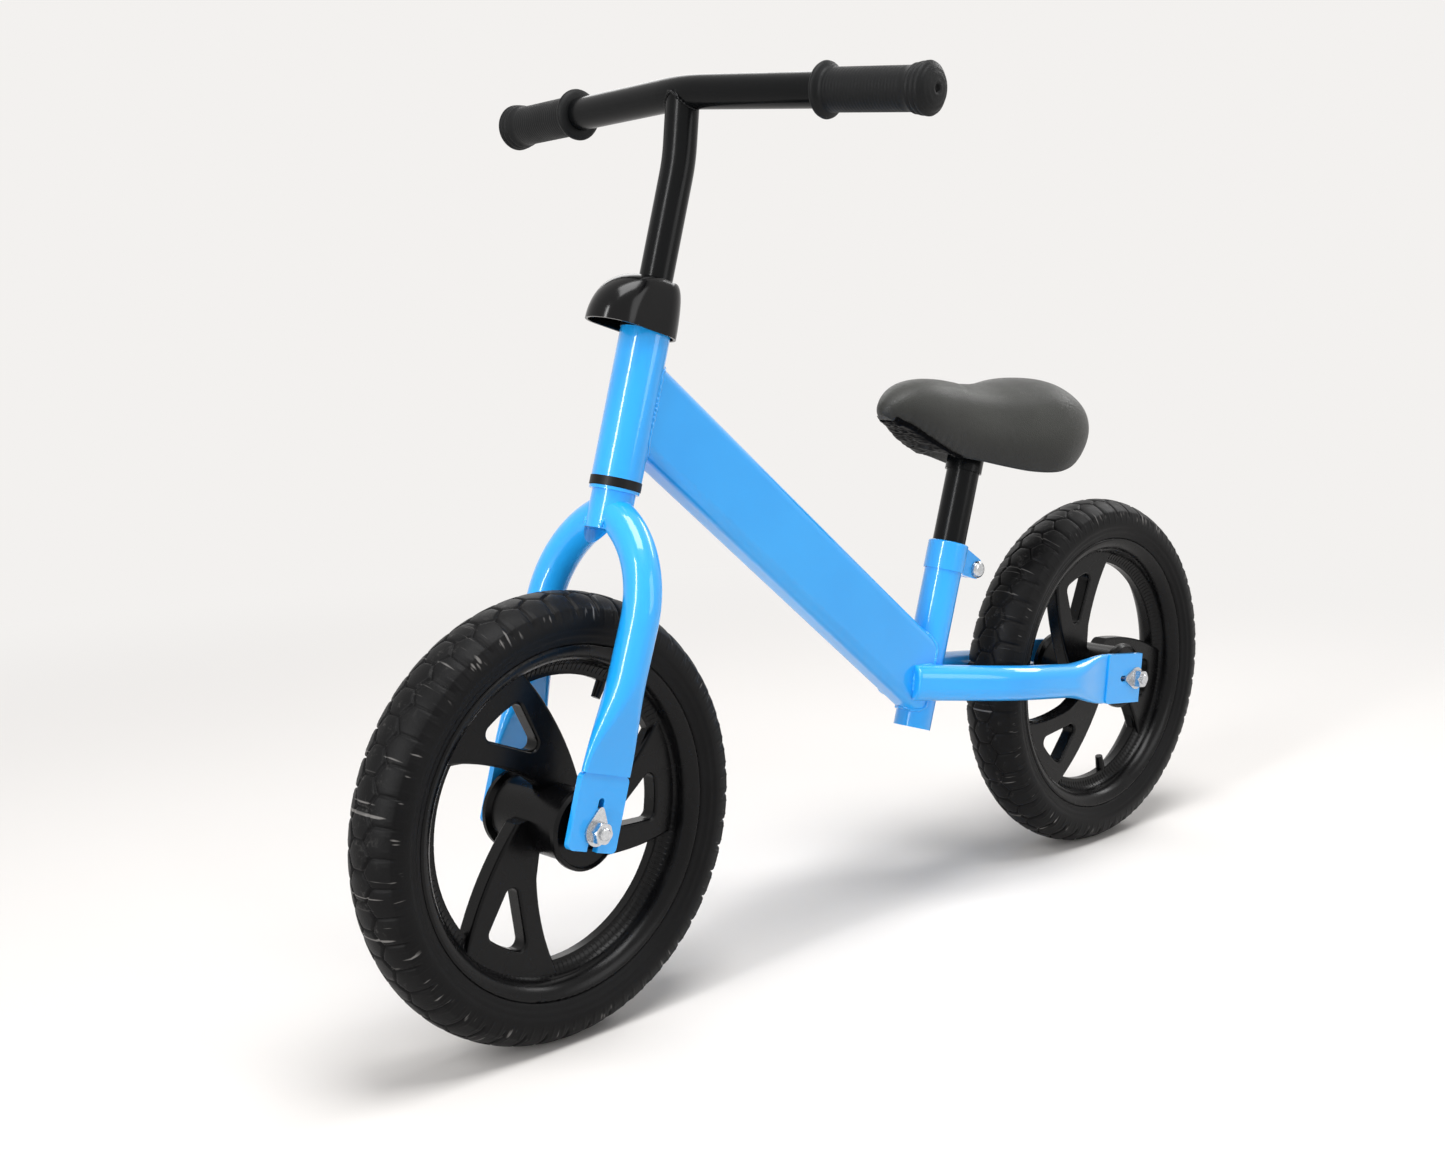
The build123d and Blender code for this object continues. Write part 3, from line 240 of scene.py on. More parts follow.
# %% Wheel plastic
wheel_plastic, tree, place = new_finish(
    "moulded_black_nylon", Base_Color=linear("#060607"), IOR=1.53, Specular_IOR_Level=0.16,
)
handling = noise_on(tree, place, 60.0, 2.0)
set_roughness(tree, handling, 0.24, 0.32, 0.35, 0.75)
sink = noise_on(tree, place, 85.0, 1.0)
set_relief(tree, sink, 0.06, 0.4 * mm)
print(wheel_plastic.name, "roughness 0.24 to 0.32")

# %% [markdown]
# ## Distance and angle round a wheel
#
# The tyres' finish changes with the distance from the axle: the tread is scuffed, and outside the
# wall there are pale flecks that point at the axle. Both wheels stand at the same height, at plus and
# minus the same x, so the absolute value of x turns one into the other and a single set of nodes
# serves both. It gives the distance from the axle, and the angle round it.

# %% Wheel coordinates
def round_the_axle(tree, place):
    """Sockets with the distance from the nearest axle and the angle round it."""
    axes = add_node(tree, "ShaderNodeSeparateXYZ", links={"Vector": place})
    along = calculate(tree, "ABSOLUTE", axes.outputs["X"])
    ahead = calculate(tree, "SUBTRACT", along, half_wheelbase)
    lift = calculate(tree, "SUBTRACT", axes.outputs["Z"], axle_height)
    spot = add_node(tree, "ShaderNodeCombineXYZ", links={"X": ahead, "Z": lift})
    reach = add_node(tree, "ShaderNodeVectorMath", links={0: spot.outputs[0]}, operation="LENGTH")
    return reach.outputs["Value"], calculate(tree, "ARCTAN2", lift, ahead)


print("axles at plus and minus", half_wheelbase, "m")

# %% [markdown]
# ## Foam of the tyres
#
# The tyres are EVA foam, moulded with a skin. They are black and softly shiny, with a dry bloom
# that greys the skin in patches and fine pores about 0.8 mm apart. The tread is rubbed paler
# where it met the floor, so a scuff mask grows with the distance from the axle. Outside a radius
# of 13 cm there are pale flecks, left by the mould: noise in cells 3 mm wide and 14 mm long, of
# which only the peaks show.

# %% Tyre foam
tyre_foam, tree, place = new_finish("moulded_eva_foam", Specular_IOR_Level=0.12)
reach, turn = round_the_axle(tree, place)
bloom = noise_on(tree, place, 28.0, 6.0, 0.65)
skin = ramp(tree, bloom, "#070708", "#0f0f10", (0.35, 0.72))
grit = noise_on(tree, place, 120.0, 6.0, 0.75)
scuff = remap(tree, grit, 0.56, 0.78, high=0.4)
on_tread = remap(tree, reach, 140.5 * mm, 145.8 * mm)
worn = calculate(tree, "MULTIPLY", scuff, on_tread)
fleck_wide = 3 * mm
fleck_long = 14 * mm
arc = calculate(tree, "MULTIPLY", turn, axle_height)
unrolled = add_node(tree, "ShaderNodeCombineXYZ", links={"X": arc, "Y": reach})
stretch = add_node(
    tree, "ShaderNodeMapping", {"Scale": (1 / fleck_wide, 1 / fleck_long, 1.0)},
    {"Vector": unrolled.outputs[0]},
)
marks = noise_on(tree, stretch.outputs[0], 1.0, 1.0)
fleck = remap(tree, marks, 0.67, 0.74, high=0.8)
off_wall = remap(tree, reach, 129 * mm, 134 * mm)
flecked = calculate(tree, "MULTIPLY", fleck, off_wall)
pale = calculate(tree, "MAXIMUM", worn, flecked)
share_socket, from_socket, to_socket, colour_output = 0, 6, 7, 2
colour = add_node(
    tree, "ShaderNodeMix", {to_socket: linear("#7a7876")}, {share_socket: pale, from_socket: skin},
    data_type="RGBA",
)
feed(tree, "Base Color", colour.outputs[colour_output])
set_roughness(tree, bloom, 0.36, 0.6)
set_relief(tree, cells_on(tree, place, 1250.0), 0.35, 0.2 * mm)
print(tyre_foam.name, "has", len(tree.nodes), "nodes")

# %% [markdown]
# ## Soft rubber, cover plastic and bush plastic
#
# Three more blacks, and they differ mostly in how they take light. The grips are thermoplastic
# rubber with a dry, dull skin. The cover over the headset is ABS from a polished mould, the
# glossiest black on the bike. The bushes and the saddle's pan are unpolished nylon.

# %% Grip rubber
grip_rubber, tree, place = new_finish(
    "matt_thermoplastic_rubber", Base_Color=linear("#0e0f10"), Specular_IOR_Level=0.18,
)
dust = noise_on(tree, place, 60.0, 5.0)
set_roughness(tree, dust, 0.42, 0.66)
set_relief(tree, cells_on(tree, place, 1000.0), 0.3, 0.2 * mm)
print(grip_rubber.name, "stipple 1 mm apart")

# %% Cover and bush plastic
cover_plastic, tree, place = new_finish(
    "polished_black_abs", Base_Color=linear("#070708"), IOR=1.54, Specular_IOR_Level=0.2,
)
haze = noise_on(tree, place, 70.0, 4.0)
set_roughness(tree, haze, 0.1, 0.24)
bush_plastic, tree, place = new_finish(
    "plain_black_nylon", Base_Color=linear("#0b0b0c"), IOR=1.53, Specular_IOR_Level=0.18,
)
grain = noise_on(tree, place, 900.0, 2.0)
set_roughness(tree, grain, 0.34, 0.5)
set_relief(tree, grain, 0.25, 0.1 * mm)
print(cover_plastic.name, "and", bush_plastic.name)

# %% [markdown]
# ## Vinyl of the saddle
#
# The saddle's cover is PVC leather, embossed with a pebble grain and stretched over foam. Its
# grain is about 1.1 mm, and it shines most on the tops of the pebbles. A pebble is a raised cell
# with a sunken border, so the grain comes from the distance to a Voronoi cell's edge. It is drawn
# a little coarser than life, at 1.4 mm, because finer would be lost in the render. The cover's
# colour gets darker towards its lower edge, over 36 mm above a line that rises to the nose: this is
# painted shade, standing in for the shade that falls on the lower sides.

# %% Saddle vinyl
saddle_vinyl, tree, place = new_finish(
    "embossed_pvc_leather", IOR=1.5, Specular_IOR_Level=0.4, Sheen_Weight=0.06, Sheen_Roughness=0.4,
)
pebble_wide = 1.4 * mm
pebble = cells_on(tree, place, 1 / pebble_wide, feature="DISTANCE_TO_EDGE")
crease = remap(tree, pebble, stop=0.22, interpolation_type="SMOOTHSTEP")
set_roughness(tree, crease, 0.56, 0.4)
set_relief(tree, crease, 0.4, 0.25 * mm)
patch = noise_on(tree, place, 16.0, 3.0)
tone = ramp(tree, patch, "#20211e", "#2c2d29", (0.3, 0.75))
# Painted shade: the base colour is scaled down to 0.3 at the foot line and back to full over 36 mm above
# it.
axes = add_node(tree, "ShaderNodeSeparateXYZ", links={"Vector": place})
foot_line = remap(tree, axes.outputs["X"], -150 * mm, -33 * mm, 328 * mm, 374 * mm)
above_foot = calculate(tree, "SUBTRACT", axes.outputs["Z"], foot_line)
painted_lower_shade = remap(tree, above_foot, stop=36 * mm, low=0.3, interpolation_type="SMOOTHSTEP")
painted_shade_tone = add_node(
    tree, "ShaderNodeVectorMath", links={"Vector": tone, "Scale": painted_lower_shade}, operation="SCALE"
)
feed(tree, "Base Color", painted_shade_tone.outputs["Vector"])
print(saddle_vinyl.name, "grain", round(pebble_wide / mm, 1), "mm")

# %% [markdown]
# ## Zinc-plated steel
#
# Axles, nuts, washers and bolts are steel with a bright zinc coat. Plating is a metal, so the
# colour is the colour of its reflection. It looks slightly cloudy, from crystals a millimetre
# or so wide, and it never gets as sharp as chrome.

# %% Zinc plate
zinc_plate, tree, place = new_finish("bright_zinc_on_steel", Metallic=1.0)
cloud = noise_on(tree, place, 700.0, 4.0)
tone = ramp(tree, cloud, "#a9acb0", "#dcdee0")
feed(tree, "Base Color", tone)
set_roughness(tree, cloud, 0.16, 0.34)
print(zinc_plate.name, "roughness 0.16 to 0.34")

# %% [markdown]
# ## Painting the CAD pieces
#
# The frame's pieces keep their shape and get a finish in their own material slot. The list goes
# by finish, as a workshop would sort the pieces on racks before they go to paint or plating.

# %% Assign finishes
racks = {
    blue_enamel: ["head_tube", "main_tube", "seat_tube", "left_stay", "right_stay", "steerer_tube",
                  "left_fork_blade", "right_fork_blade", "crown_race", "seat_clamp"],
    black_enamel: ["stem_tube", "handlebar_tube", "seat_post", "saddle_bracket", "stem_clamp"],
    wheel_plastic: ["front_wheel_core", "rear_wheel_core"],
    tyre_foam: ["front_tyre", "rear_tyre"],
    grip_rubber: ["left_grip", "right_grip"],
    cover_plastic: ["headset_cover"],
    bush_plastic: ["lower_headset_bush", "upper_headset_bush", "saddle_pan"],
    saddle_vinyl: ["saddle_cushion"],
    zinc_plate: ["front_axle", "front_axle_nuts", "front_axle_washers", "front_axle_spacers",
                 "rear_axle", "rear_axle_nuts", "rear_axle_washers", "rear_axle_spacers",
                 "front_hub_bearings", "rear_hub_bearings", "seat_clamp_bolt", "seat_clamp_nut",
                 "stem_clamp_bolt", "stem_clamp_nut", "saddle_screws"],
}
for finish, names in racks.items():
    for name in names:
        piece = nodes[name]
        if not piece.material_slots:
            piece.data.materials.append(finish)
        for rack_slot in piece.material_slots:
            rack_slot.material = finish
print(sum(len(names) for names in racks.values()), "of", len(nodes), "nodes have a finish")

# %% [markdown]
# ## From a bmesh to a piece on the bike
#
# Every new piece ends the same way: its bmesh becomes a mesh, it gets a finish, and it rides on a
# body of the frame. Doing that in one place keeps the object at the origin with its place in its
# mesh, as the CAD pieces have it, so patterns on object coordinates stay put. Small helpers for the
# shapes themselves go with it.

# %% Piece and shape helpers
def as_piece(name, shape, finish, body, smooth=True):
    """The bmesh as an object that rides on a body and takes its finish from a slot."""
    mesh = bpy.data.meshes.new(name)
    shape.to_mesh(mesh)
    shape.free()
    mesh.materials.append(finish)
    for face in mesh.polygons:
        face.use_smooth = smooth
    piece = bpy.data.objects.new(name, mesh)
    scene.collection.objects.link(piece)
    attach(piece, body)
    print(name, "has", len(mesh.vertices), "vertices")
    return piece


def clamped(value):
    """The value, held between zero and one."""
    return min(1.0, max(0.0, value))


def whole(shape):
    """All the geometry of a bmesh, for the operators that ask for a list of it."""
    return shape.verts[:] + shape.edges[:] + shape.faces[:]


def repeat_round(shape, centre, count):
    """Copies of a bmesh round a wheel's axis, so that there are count of them."""
    bmesh.ops.spin(
        shape, geom=whole(shape), cent=centre, axis=across, angle=2 * pi * (count - 1) / count,
        steps=count - 1, use_duplicate=True,
    )


def face_outward(shape):
    """Faces that all look out of the bmesh."""
    bmesh.ops.recalc_face_normals(shape, faces=shape.faces[:])


def close_holes(shape):
    """Faces over all the open edges of a bmesh."""
    bmesh.ops.holes_fill(shape, edges=[edge for edge in shape.edges if edge.is_boundary], sides=0)


print("pieces go into", scene.collection.name)

# %% [markdown]
# ## The foam tyres
#
# A solid foam tyre is moulded with its tread in it: a zigzag groove on each side, joined over
# the crown and out to the shoulder, so that the tread looks like a comb of six-sided blocks, each
# slightly pillowed. Thin flash lines run down the shoulders where the mould's parts met, and the
# wall has round ridges near the rim. The cross section is spun in small steps over one block's
# length, a second spin leaves copies of that piece all the way round, and the seams are merged. Each
# vertex then sinks by a depth that a formula gives for its place, which keeps the mesh one clean grid.

# %% Tyre cross section
tread_blocks = 48
steps_per_block = 20
wall_steps = 20
half_tread_steps = 28
crown_radius = 146 * mm
shoulder_radius = 137 * mm
shoulder_half = 21.5 * mm
rim_edge = 115.05 * mm
rim_edge_half = 20 * mm
wall_bulge = 3.2 * mm
bead_radius = 113 * mm
bead_half = 16.5 * mm


def tyre_section():
    """Radius and offset of the tyre's skin, from one rim flange over the tread to the other."""
    drop = crown_radius - shoulder_radius
    arc = (shoulder_half ** 2 + drop ** 2) / (2 * drop)
    half_angle = acos((arc - drop) / arc)
    wall = []
    for step in range(wall_steps):
        share = step / wall_steps
        radius = rim_edge + (shoulder_radius - rim_edge) * share
        offset = rim_edge_half + (shoulder_half - rim_edge_half) * share
        wall.append((radius, offset + wall_bulge * sin(pi * share)))
    tread = []
    for step in range(2 * half_tread_steps + 1):
        turn = half_angle * (1 - step / half_tread_steps)
        tread.append((crown_radius - arc + arc * cos(turn), arc * sin(turn)))
    other_wall = [(radius, -offset) for radius, offset in reversed(wall)]
    return wall + tread + other_wall + [(bead_radius, -bead_half), (bead_radius, bead_half)]


section = tyre_section()
print(len(section), "points round the tyre's section")

# %% Tread formula
tread_from, tread_full = 132 * mm, 137 * mm
groove_depth = 1.5 * mm
groove_half = 1.0 * mm
groove_steepness = 1.6
pillow_depth = 0.45 * mm
zigzag_middle = 7.6 * mm
zigzag_swing = 2.5 * mm
zigzag_slant = 0.9
flash_height = 0.3 * mm
flash_half = 0.9 * mm
flash_from, flash_full = 127 * mm, 131 * mm
flash_fades, flash_ends = 138 * mm, 141 * mm
ridges_from, ridges_end = 116 * mm, 125 * mm
ridge_pitch = 4.5 * mm
ridge_depth = 0.5 * mm
wall_from = 15 * mm


def tread_sink(phase, offset, radius):
    """How deep the skin lies below its plain section at a place on the tyre."""
    side = abs(offset)
    pitch = 2 * pi * radius / tread_blocks
    off_peak = abs(phase % 1 - 0.5)
    zigzag = zigzag_middle + zigzag_swing * (1 - 4 * off_peak)
    near = abs(side - zigzag) * zigzag_slant
    if side > zigzag:
        near = min(near, off_peak * pitch)
        pillow = (1 - 2 * off_peak) ** 4
    else:
        near = min(near, (0.5 - off_peak) * pitch)
        pillow = (2 * off_peak) ** 4
    groove = min(1.0, groove_steepness * max(0.0, 1 - near / groove_half))
    sink = groove_depth * groove + pillow_depth * pillow
    sink *= clamped((radius - tread_from) / (tread_full - tread_from))
    flash = max(0.0, 1 - abs(off_peak - 0.25) * pitch / flash_half)
    flash *= clamped((radius - flash_from) / (flash_full - flash_from))
    flash *= clamped((flash_ends - radius) / (flash_ends - flash_fades))
    ridge = 0.0
    if ridges_from < radius < ridges_end and side > wall_from:
        ridge = 0.5 - 0.5 * cos(2 * pi * (radius - ridges_from) / ridge_pitch)
    return sink - flash_height * flash + ridge_depth * ridge


print("tread pitch", round(2 * pi * crown_radius / tread_blocks / mm, 1), "mm")

# %% Tyres
def foam_tyre(name, axle, body, replaced):
    """A tyre spun round its axle, with the tread sunk into it."""
    shape = bmesh.new()
    ring = [shape.verts.new(axle + Vector((radius, offset, 0))) for radius, offset in section]
    edges = [shape.edges.new(pair) for pair in zip(ring, ring[1:] + ring[:1])]
    bmesh.ops.spin(
        shape, geom=ring + edges, cent=axle, axis=across, angle=2 * pi / tread_blocks, steps=steps_per_block
    )
    repeat_round(shape, axle, tread_blocks)
    bmesh.ops.remove_doubles(shape, verts=shape.verts[:], dist=0.01 * mm)
    face_outward(shape)
    shape.normal_update()
    for vert in shape.verts:
        arm = vert.co - axle
        radius = sqrt(arm.x ** 2 + arm.z ** 2)
        phase = atan2(arm.z, arm.x) / (2 * pi) * tread_blocks
        vert.co -= vert.normal * tread_sink(phase, arm.y, radius)
    piece = as_piece(name, shape, tyre_foam, body)
    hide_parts(replaced)


foam_tyre("front_tyre_tread", front_axle, "front_wheel", "front_tyre")
foam_tyre("rear_tyre_tread", rear_axle, "rear_wheel", "rear_tyre")

# %% [markdown]
# ## The ribs in the rim's hollow
#
# The hollow between the rim's lip and its step is stiffened by fine ribs that point at the axle,
# under 4 mm apart. One rib is a small block with its foot in the plastic and a narrower crest, and a
# spin that leaves copies behind sets the rest round the axle. A mirror gives the wheel's other side.

# %% Rim ribs
rib_count = 168
rib_half = 0.6
rib_crest_half = 0.33
rib_sunk = 0.6
rib_rise = 0.35
hollow = [(94.2, 3.17), (96.2, 3.39), (98.2, 4.1), (100.2, 5.43), (101.8, 7.28), (102.7, 9.05)]


def rim_ribs(name, axle, body):
    """A ring of ribs on both faces of one wheel's rim."""
    foot = [(radius, offset - rib_sunk, -rib_half) for radius, offset in hollow]
    crest = [(radius, offset + rib_rise, -rib_crest_half) for radius, offset in hollow[1:-1]]
    shape = bmesh.new()
    corners = [shape.verts.new(Vector(corner) * mm) for corner in foot + crest[::-1]]
    side = shape.faces.new(corners)
    thick = bmesh.ops.extrude_face_region(shape, geom=[side])
    for part in thick["geom"]:
        if isinstance(part, bmesh.types.BMVert):
            part.co.z = -part.co.z
    repeat_round(shape, (0, 0, 0), rib_count)
    bmesh.ops.mirror(shape, geom=whole(shape), axis="Y", merge_dist=-1)
    face_outward(shape)
    bmesh.ops.translate(shape, verts=shape.verts[:], vec=axle)
    as_piece(name, shape, wheel_plastic, body, smooth=False)


rim_ribs("front_rim_ribs", front_axle, "front_wheel")
rim_ribs("rear_rim_ribs", rear_axle, "rear_wheel")

# %% [markdown]
# ## The ringed grips
#
# A grip is a rubber sleeve with a mushroom at its inner end, fine rings that keep small hands
# from slipping, and a stepped cap with a moulding hole. Each one is a turned shape, so a profile
# is spun round the end of the bar, which slopes back and down. The profile gives the distance from
# the inner end and the radius, in millimetres. The CAD grip's own box shows whether the new one lies
# in the same place.

# %% Grip profile
grip_length = 84 * mm
grip_rings = 23
first_ring = 9.0
ring_pitch = 2.4
points = [(0.0, 11.25), (0.0, 12.8), (0.6, 15.0), (1.8, 16.9), (3.2, 17.5), (4.4, 17.2), (5.4, 15.9)]
points += [(6.2, 14.2), (7.2, 13.5)]
for ring in range(grip_rings):
    at = first_ring + ring_pitch * ring
    points += [(at, 13.4), (at + 0.4, 13.5), (at + 1.2, 13.5), (at + 1.6, 13.4)]
points += [(66.5, 13.6), (68.6, 14.1), (69.8, 14.8), (70.8, 14.9), (71.6, 14.5), (72.0, 14.3)]
points += [(72.4, 14.6), (73.4, 15.4), (74.6, 15.6), (75.5, 15.2), (75.9, 14.9), (76.3, 15.2)]
points += [(77.2, 15.9), (78.6, 16.0), (79.8, 15.4), (80.4, 14.4), (80.7, 13.8), (81.3, 13.5)]
points += [(82.3, 12.3), (82.9, 10.8), (82.9, 10.2), (83.5, 9.4), (83.8, 7.5), (83.8, 5.2)]
points += [(84.0, 4.6), (84.0, 2.9), (83.4, 2.4), (82.0, 2.3)]
profile = [(along * mm, radius * mm) for along, radius in points]
print(len(profile), "points along a grip")

# %% Grips
def ringed_grip(name, replaced, side):
    """A grip on the bar's end, on the left where side is 1 and on the right where it is -1."""
    end = Vector((bar_end.x, bar_end.y * side, bar_end.z))
    outward = (end - bar_middle).normalized()
    start = end - outward * grip_length
    upward = outward.cross(Vector((1, 0, 0))).normalized()
    shape = bmesh.new()
    line = [shape.verts.new(start + outward * along + upward * radius) for along, radius in profile]
    edges = [shape.edges.new(pair) for pair in zip(line, line[1:])]
    bmesh.ops.spin(
        shape, geom=line + edges, cent=start, axis=outward, angle=2 * pi, steps=72, use_merge=True
    )
    bmesh.ops.remove_doubles(shape, verts=shape.verts[:], dist=0.005 * mm)
    close_holes(shape)
    face_outward(shape)
    piece = as_piece(name, shape, grip_rubber, "handlebar")
    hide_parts(replaced)
    low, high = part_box(replaced)
    apart = ((start + end) / 2 - (low + high) / 2).length
    print(name, "lies", round(apart / mm, 1), "mm from the middle of the CAD grip's box")


ringed_grip("left_ringed_grip", "left_grip", 1)
ringed_grip("right_ringed_grip", "right_grip", -1)

# %% [markdown]
# ## The stuffed saddle
#
# The saddle is a foam pad on a plastic pan, with vinyl pulled over it and stapled underneath. Its
# skin starts as a sphere with one pole at the nose and the other at the tail. Each ring of the
# sphere is one section across the saddle, and a table gives the sections: how far along the bike,
# half the width at the foot and at the widest place, and the heights of foot and crown, all in
# millimetres. Between two rows of the table a smooth curve runs through four of them.

# %% Saddle sections
saddle_rows = [
    (-28.0, 0.0, 0.0, 382.5, 382.5),
    (-33.0, 5.5, 8.5, 377.5, 391.5),
    (-49.8, 11.0, 18.5, 369.0, 402.0),
    (-68.7, 15.5, 23.5, 358.0, 405.0),
    (-91.8, 19.0, 26.0, 347.5, 403.2),
    (-115.0, 25.5, 31.5, 341.5, 398.5),
    (-138.0, 33.0, 39.5, 335.5, 396.0),
    (-160.0, 42.0, 50.5, 330.5, 397.3),
    (-182.0, 49.5, 58.5, 328.5, 399.2),
    (-204.0, 47.0, 57.0, 331.5, 398.0),
    (-222.0, 38.5, 49.0, 338.0, 393.0),
    (-236.0, 24.0, 34.0, 347.0, 385.5),
    (-243.5, 10.0, 16.0, 356.0, 376.5),
    (-245.0, 0.0, 0.0, 366.0, 366.0),
]
rings_per_row = 12
ring_count = rings_per_row * (len(saddle_rows) - 1)


def beyond_pole(pole, inner):
    """The row that continues the table past a pole, mirrored so that the end comes out round."""
    mirrored = [2 * value - other for value, other in zip(pole[1:], inner[1:])]
    return (inner[0], *mirrored)


def section_at(place):
    """The saddle's section at a place along the table, counted in rows."""
    rows = [beyond_pole(saddle_rows[0], saddle_rows[1]), *saddle_rows]
    rows.append(beyond_pole(saddle_rows[-1], saddle_rows[-2]))
    first = min(int(place), len(saddle_rows) - 2)
    share = place - first
    weights = (
        0.5 * (-share + 2 * share ** 2 - share ** 3),
        0.5 * (2 - 5 * share ** 2 + 3 * share ** 3),
        0.5 * (share + 4 * share ** 2 - 3 * share ** 3),
        0.5 * (share ** 3 - share ** 2),
    )
    near = rows[first:first + 4]
    return [sum(weight * row[part] for weight, row in zip(weights, near)) for part in range(5)]


print(ring_count, "rings; widest", max(row[2] for row in saddle_rows), "mm to a side")

# %% [markdown]
# Half a section goes in 36 steps from the crown to the middle of the underside: along one arc to the
# shoulder, along another to the foot, and then underneath. There the skin turns up, after a lip, into
# a recess that keeps clear of the pan.

# %% Round a section
shoulder_step, foot_step, lip_step, roof_step, last_step = 10, 26, 27, 31, 36
pan_front, pan_back, pan_top = -73.0, -232.0, 358.7
pan_nose, pan_nose_radius = -86.0, 14.0
pan_tail, pan_tail_radius = -190.0, 43.0
side_from, side_to, side_half, side_slope = -82.4, -178.3, 13.5, 0.2904
lip_width, lip_drop = 1.6, 0.5
recess_ahead, recess_behind, recess_ramp = 1.6, 2.5, 1.5
tail_from, tail_over = -195.0, 30.0


def pan_half(x):
    """Half the width that the pan needs under the pad: two circles and the lines that touch both."""
    if x > side_from:
        return sqrt(max(0.0, pan_nose_radius ** 2 - (x - pan_nose) ** 2))
    if x < side_to:
        return sqrt(max(0.0, pan_tail_radius ** 2 - (x - pan_tail) ** 2))
    return side_half + side_slope * (side_from - x)


def on_arc(start, middle, end, share):
    """A point on the circle's arc from start through middle to end, by its share of the turn."""
    (ax, ay), (bx, by), (cx, cy) = start, middle, end
    cross = 2 * (ax * (by - cy) + bx * (cy - ay) + cx * (ay - by))
    if abs(cross) < 1e-6:
        return ax + (cx - ax) * share, ay + (cy - ay) * share
    aa, bb, cc = ax * ax + ay * ay, bx * bx + by * by, cx * cx + cy * cy
    centre_x = (aa * (by - cy) + bb * (cy - ay) + cc * (ay - by)) / cross
    centre_y = (aa * (cx - bx) + bb * (ax - cx) + cc * (bx - ax)) / cross
    from_turn = atan2(ay - centre_y, ax - centre_x)
    sweep = (from_turn - atan2(cy - centre_y, cx - centre_x)) % (2 * pi)
    turn = from_turn - sweep * share
    reach = sqrt((ax - centre_x) ** 2 + (ay - centre_y) ** 2)
    return centre_x + reach * cos(turn), centre_y + reach * sin(turn)


def saddle_point(place, step, recessed=True):
    """Along, across and up for one of the steps, with the recess or with a flat underside."""
    x, foot_half, widest, foot, crown = section_at(place)
    depth = crown - foot
    tail = clamped((tail_from - x) / tail_over)
    shoulder = (widest * 0.86, crown - depth * (0.2 + 0.1 * tail))
    bulge = (widest, foot + depth * 0.42)
    if step <= shoulder_step:
        half_way = (widest * 0.5, crown - depth * (0.055 + 0.02 * tail))
        return x, *on_arc((0.0, crown), half_way, shoulder, step / shoulder_step)
    if step <= foot_step:
        share = (step - shoulder_step) / (foot_step - shoulder_step)
        return x, *on_arc(shoulder, bulge, (foot_half, foot), share)
    flat_out = foot_half * (last_step - step) / (last_step - foot_step)
    if not recessed:
        return x, flat_out, foot
    inner = max(min(pan_half(x), foot_half - lip_width), 0.45 * foot_half)
    if step == lip_step:
        deep_out, deep_up = (foot_half + inner) / 2, foot - lip_drop
    elif step <= roof_step:
        share = (step - lip_step - 1) / (roof_step - lip_step - 1)
        deep_out, deep_up = inner, foot + (pan_top - foot) * share
    else:
        deep_out, deep_up = inner * (last_step - step) / (last_step - roof_step), pan_top
    past_ends = min(pan_front + recess_ahead - x, x - pan_back + recess_behind)
    under_pan = clamped(past_ends / recess_ramp)
    return x, flat_out + (deep_out - flat_out) * under_pan, foot + (deep_up - foot) * under_pan


print("the recess goes from", pan_front, "to", pan_back, "mm")

# %% Saddle skin
smoothed_to_step = 23
smoothing_passes = 6
shape = bmesh.new()
bmesh.ops.create_uvsphere(shape, u_segments=2 * last_step, v_segments=ring_count, radius=1.0)
crown_verts = []
held = []
for vert in shape.verts:
    ring = round(acos(max(-1.0, min(1.0, vert.co.z))) * ring_count / pi)
    turn = atan2(vert.co.y, vert.co.x)
    step = round(abs(turn) * last_step / pi)
    x, out, up = saddle_point(ring / rings_per_row, step)
    vert.co = Vector((x, out if turn >= 0 else -out, up)) * mm
    if step <= smoothed_to_step:
        crown_verts.append(vert)
    if step >= foot_step:
        held.append(vert.index)
for smoothing in range(smoothing_passes):
    bmesh.ops.smooth_vert(
        shape, verts=crown_verts, factor=0.5, use_axis_x=True, use_axis_y=True, use_axis_z=True
    )
face_outward(shape)
saddle = as_piece("saddle_pad", shape, saddle_vinyl, "seat")
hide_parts("saddle_cushion")
print(len(held), "vertices stapled underneath")

# %% [markdown]
# A stuffed cover is a surface under pressure, and that is what the cloth solver makes of the skin:
# it is blown up from inside, while the underside stays where the staples hold it. Afterwards no
# point may be further from the start than a cap allows, so the pad keeps the frame's size.

# %% Run the cloth solver
cloth_frames = 20
swell_cap = 2 * mm
rest = [vert.co.copy() for vert in saddle.data.vertices]
staples = saddle.vertex_groups.new(name="staples")
staples.add(held, 1.0, "REPLACE")
cloth = saddle.modifiers.new("stuffing", "CLOTH")
cloth.settings.quality = 6
cloth.settings.mass = 0.003
cloth.settings.use_pressure = True
cloth.settings.uniform_pressure_force = 4.0
cloth.settings.vertex_group_mass = "staples"
cloth.settings.effector_weights.gravity = 0.0
cloth.point_cache.frame_start = 1
cloth.point_cache.frame_end = cloth_frames
for moment in range(1, cloth_frames + 1):
    scene.frame_set(moment)
graph = bpy.context.evaluated_depsgraph_get()
blown = bpy.data.meshes.new_from_object(saddle.evaluated_get(graph))
saddle.modifiers.clear()
saddle.data = blown
scene.frame_set(1)
furthest = 0.0
for vert, start in zip(saddle.data.vertices, rest):
    move = vert.co - start
    furthest = max(furthest, move.length)
    if move.length > swell_cap:
        vert.co = start + move * (swell_cap / move.length)
print("furthest swell before the cap:", round(furthest / mm, 1), "mm")

# %% [markdown]
# Round the nose the spare vinyl ends up in small gathers along the edge. They are waves across the
# edge, about 7 mm apart and half a millimetre either way, that die out a third of the way up the side.

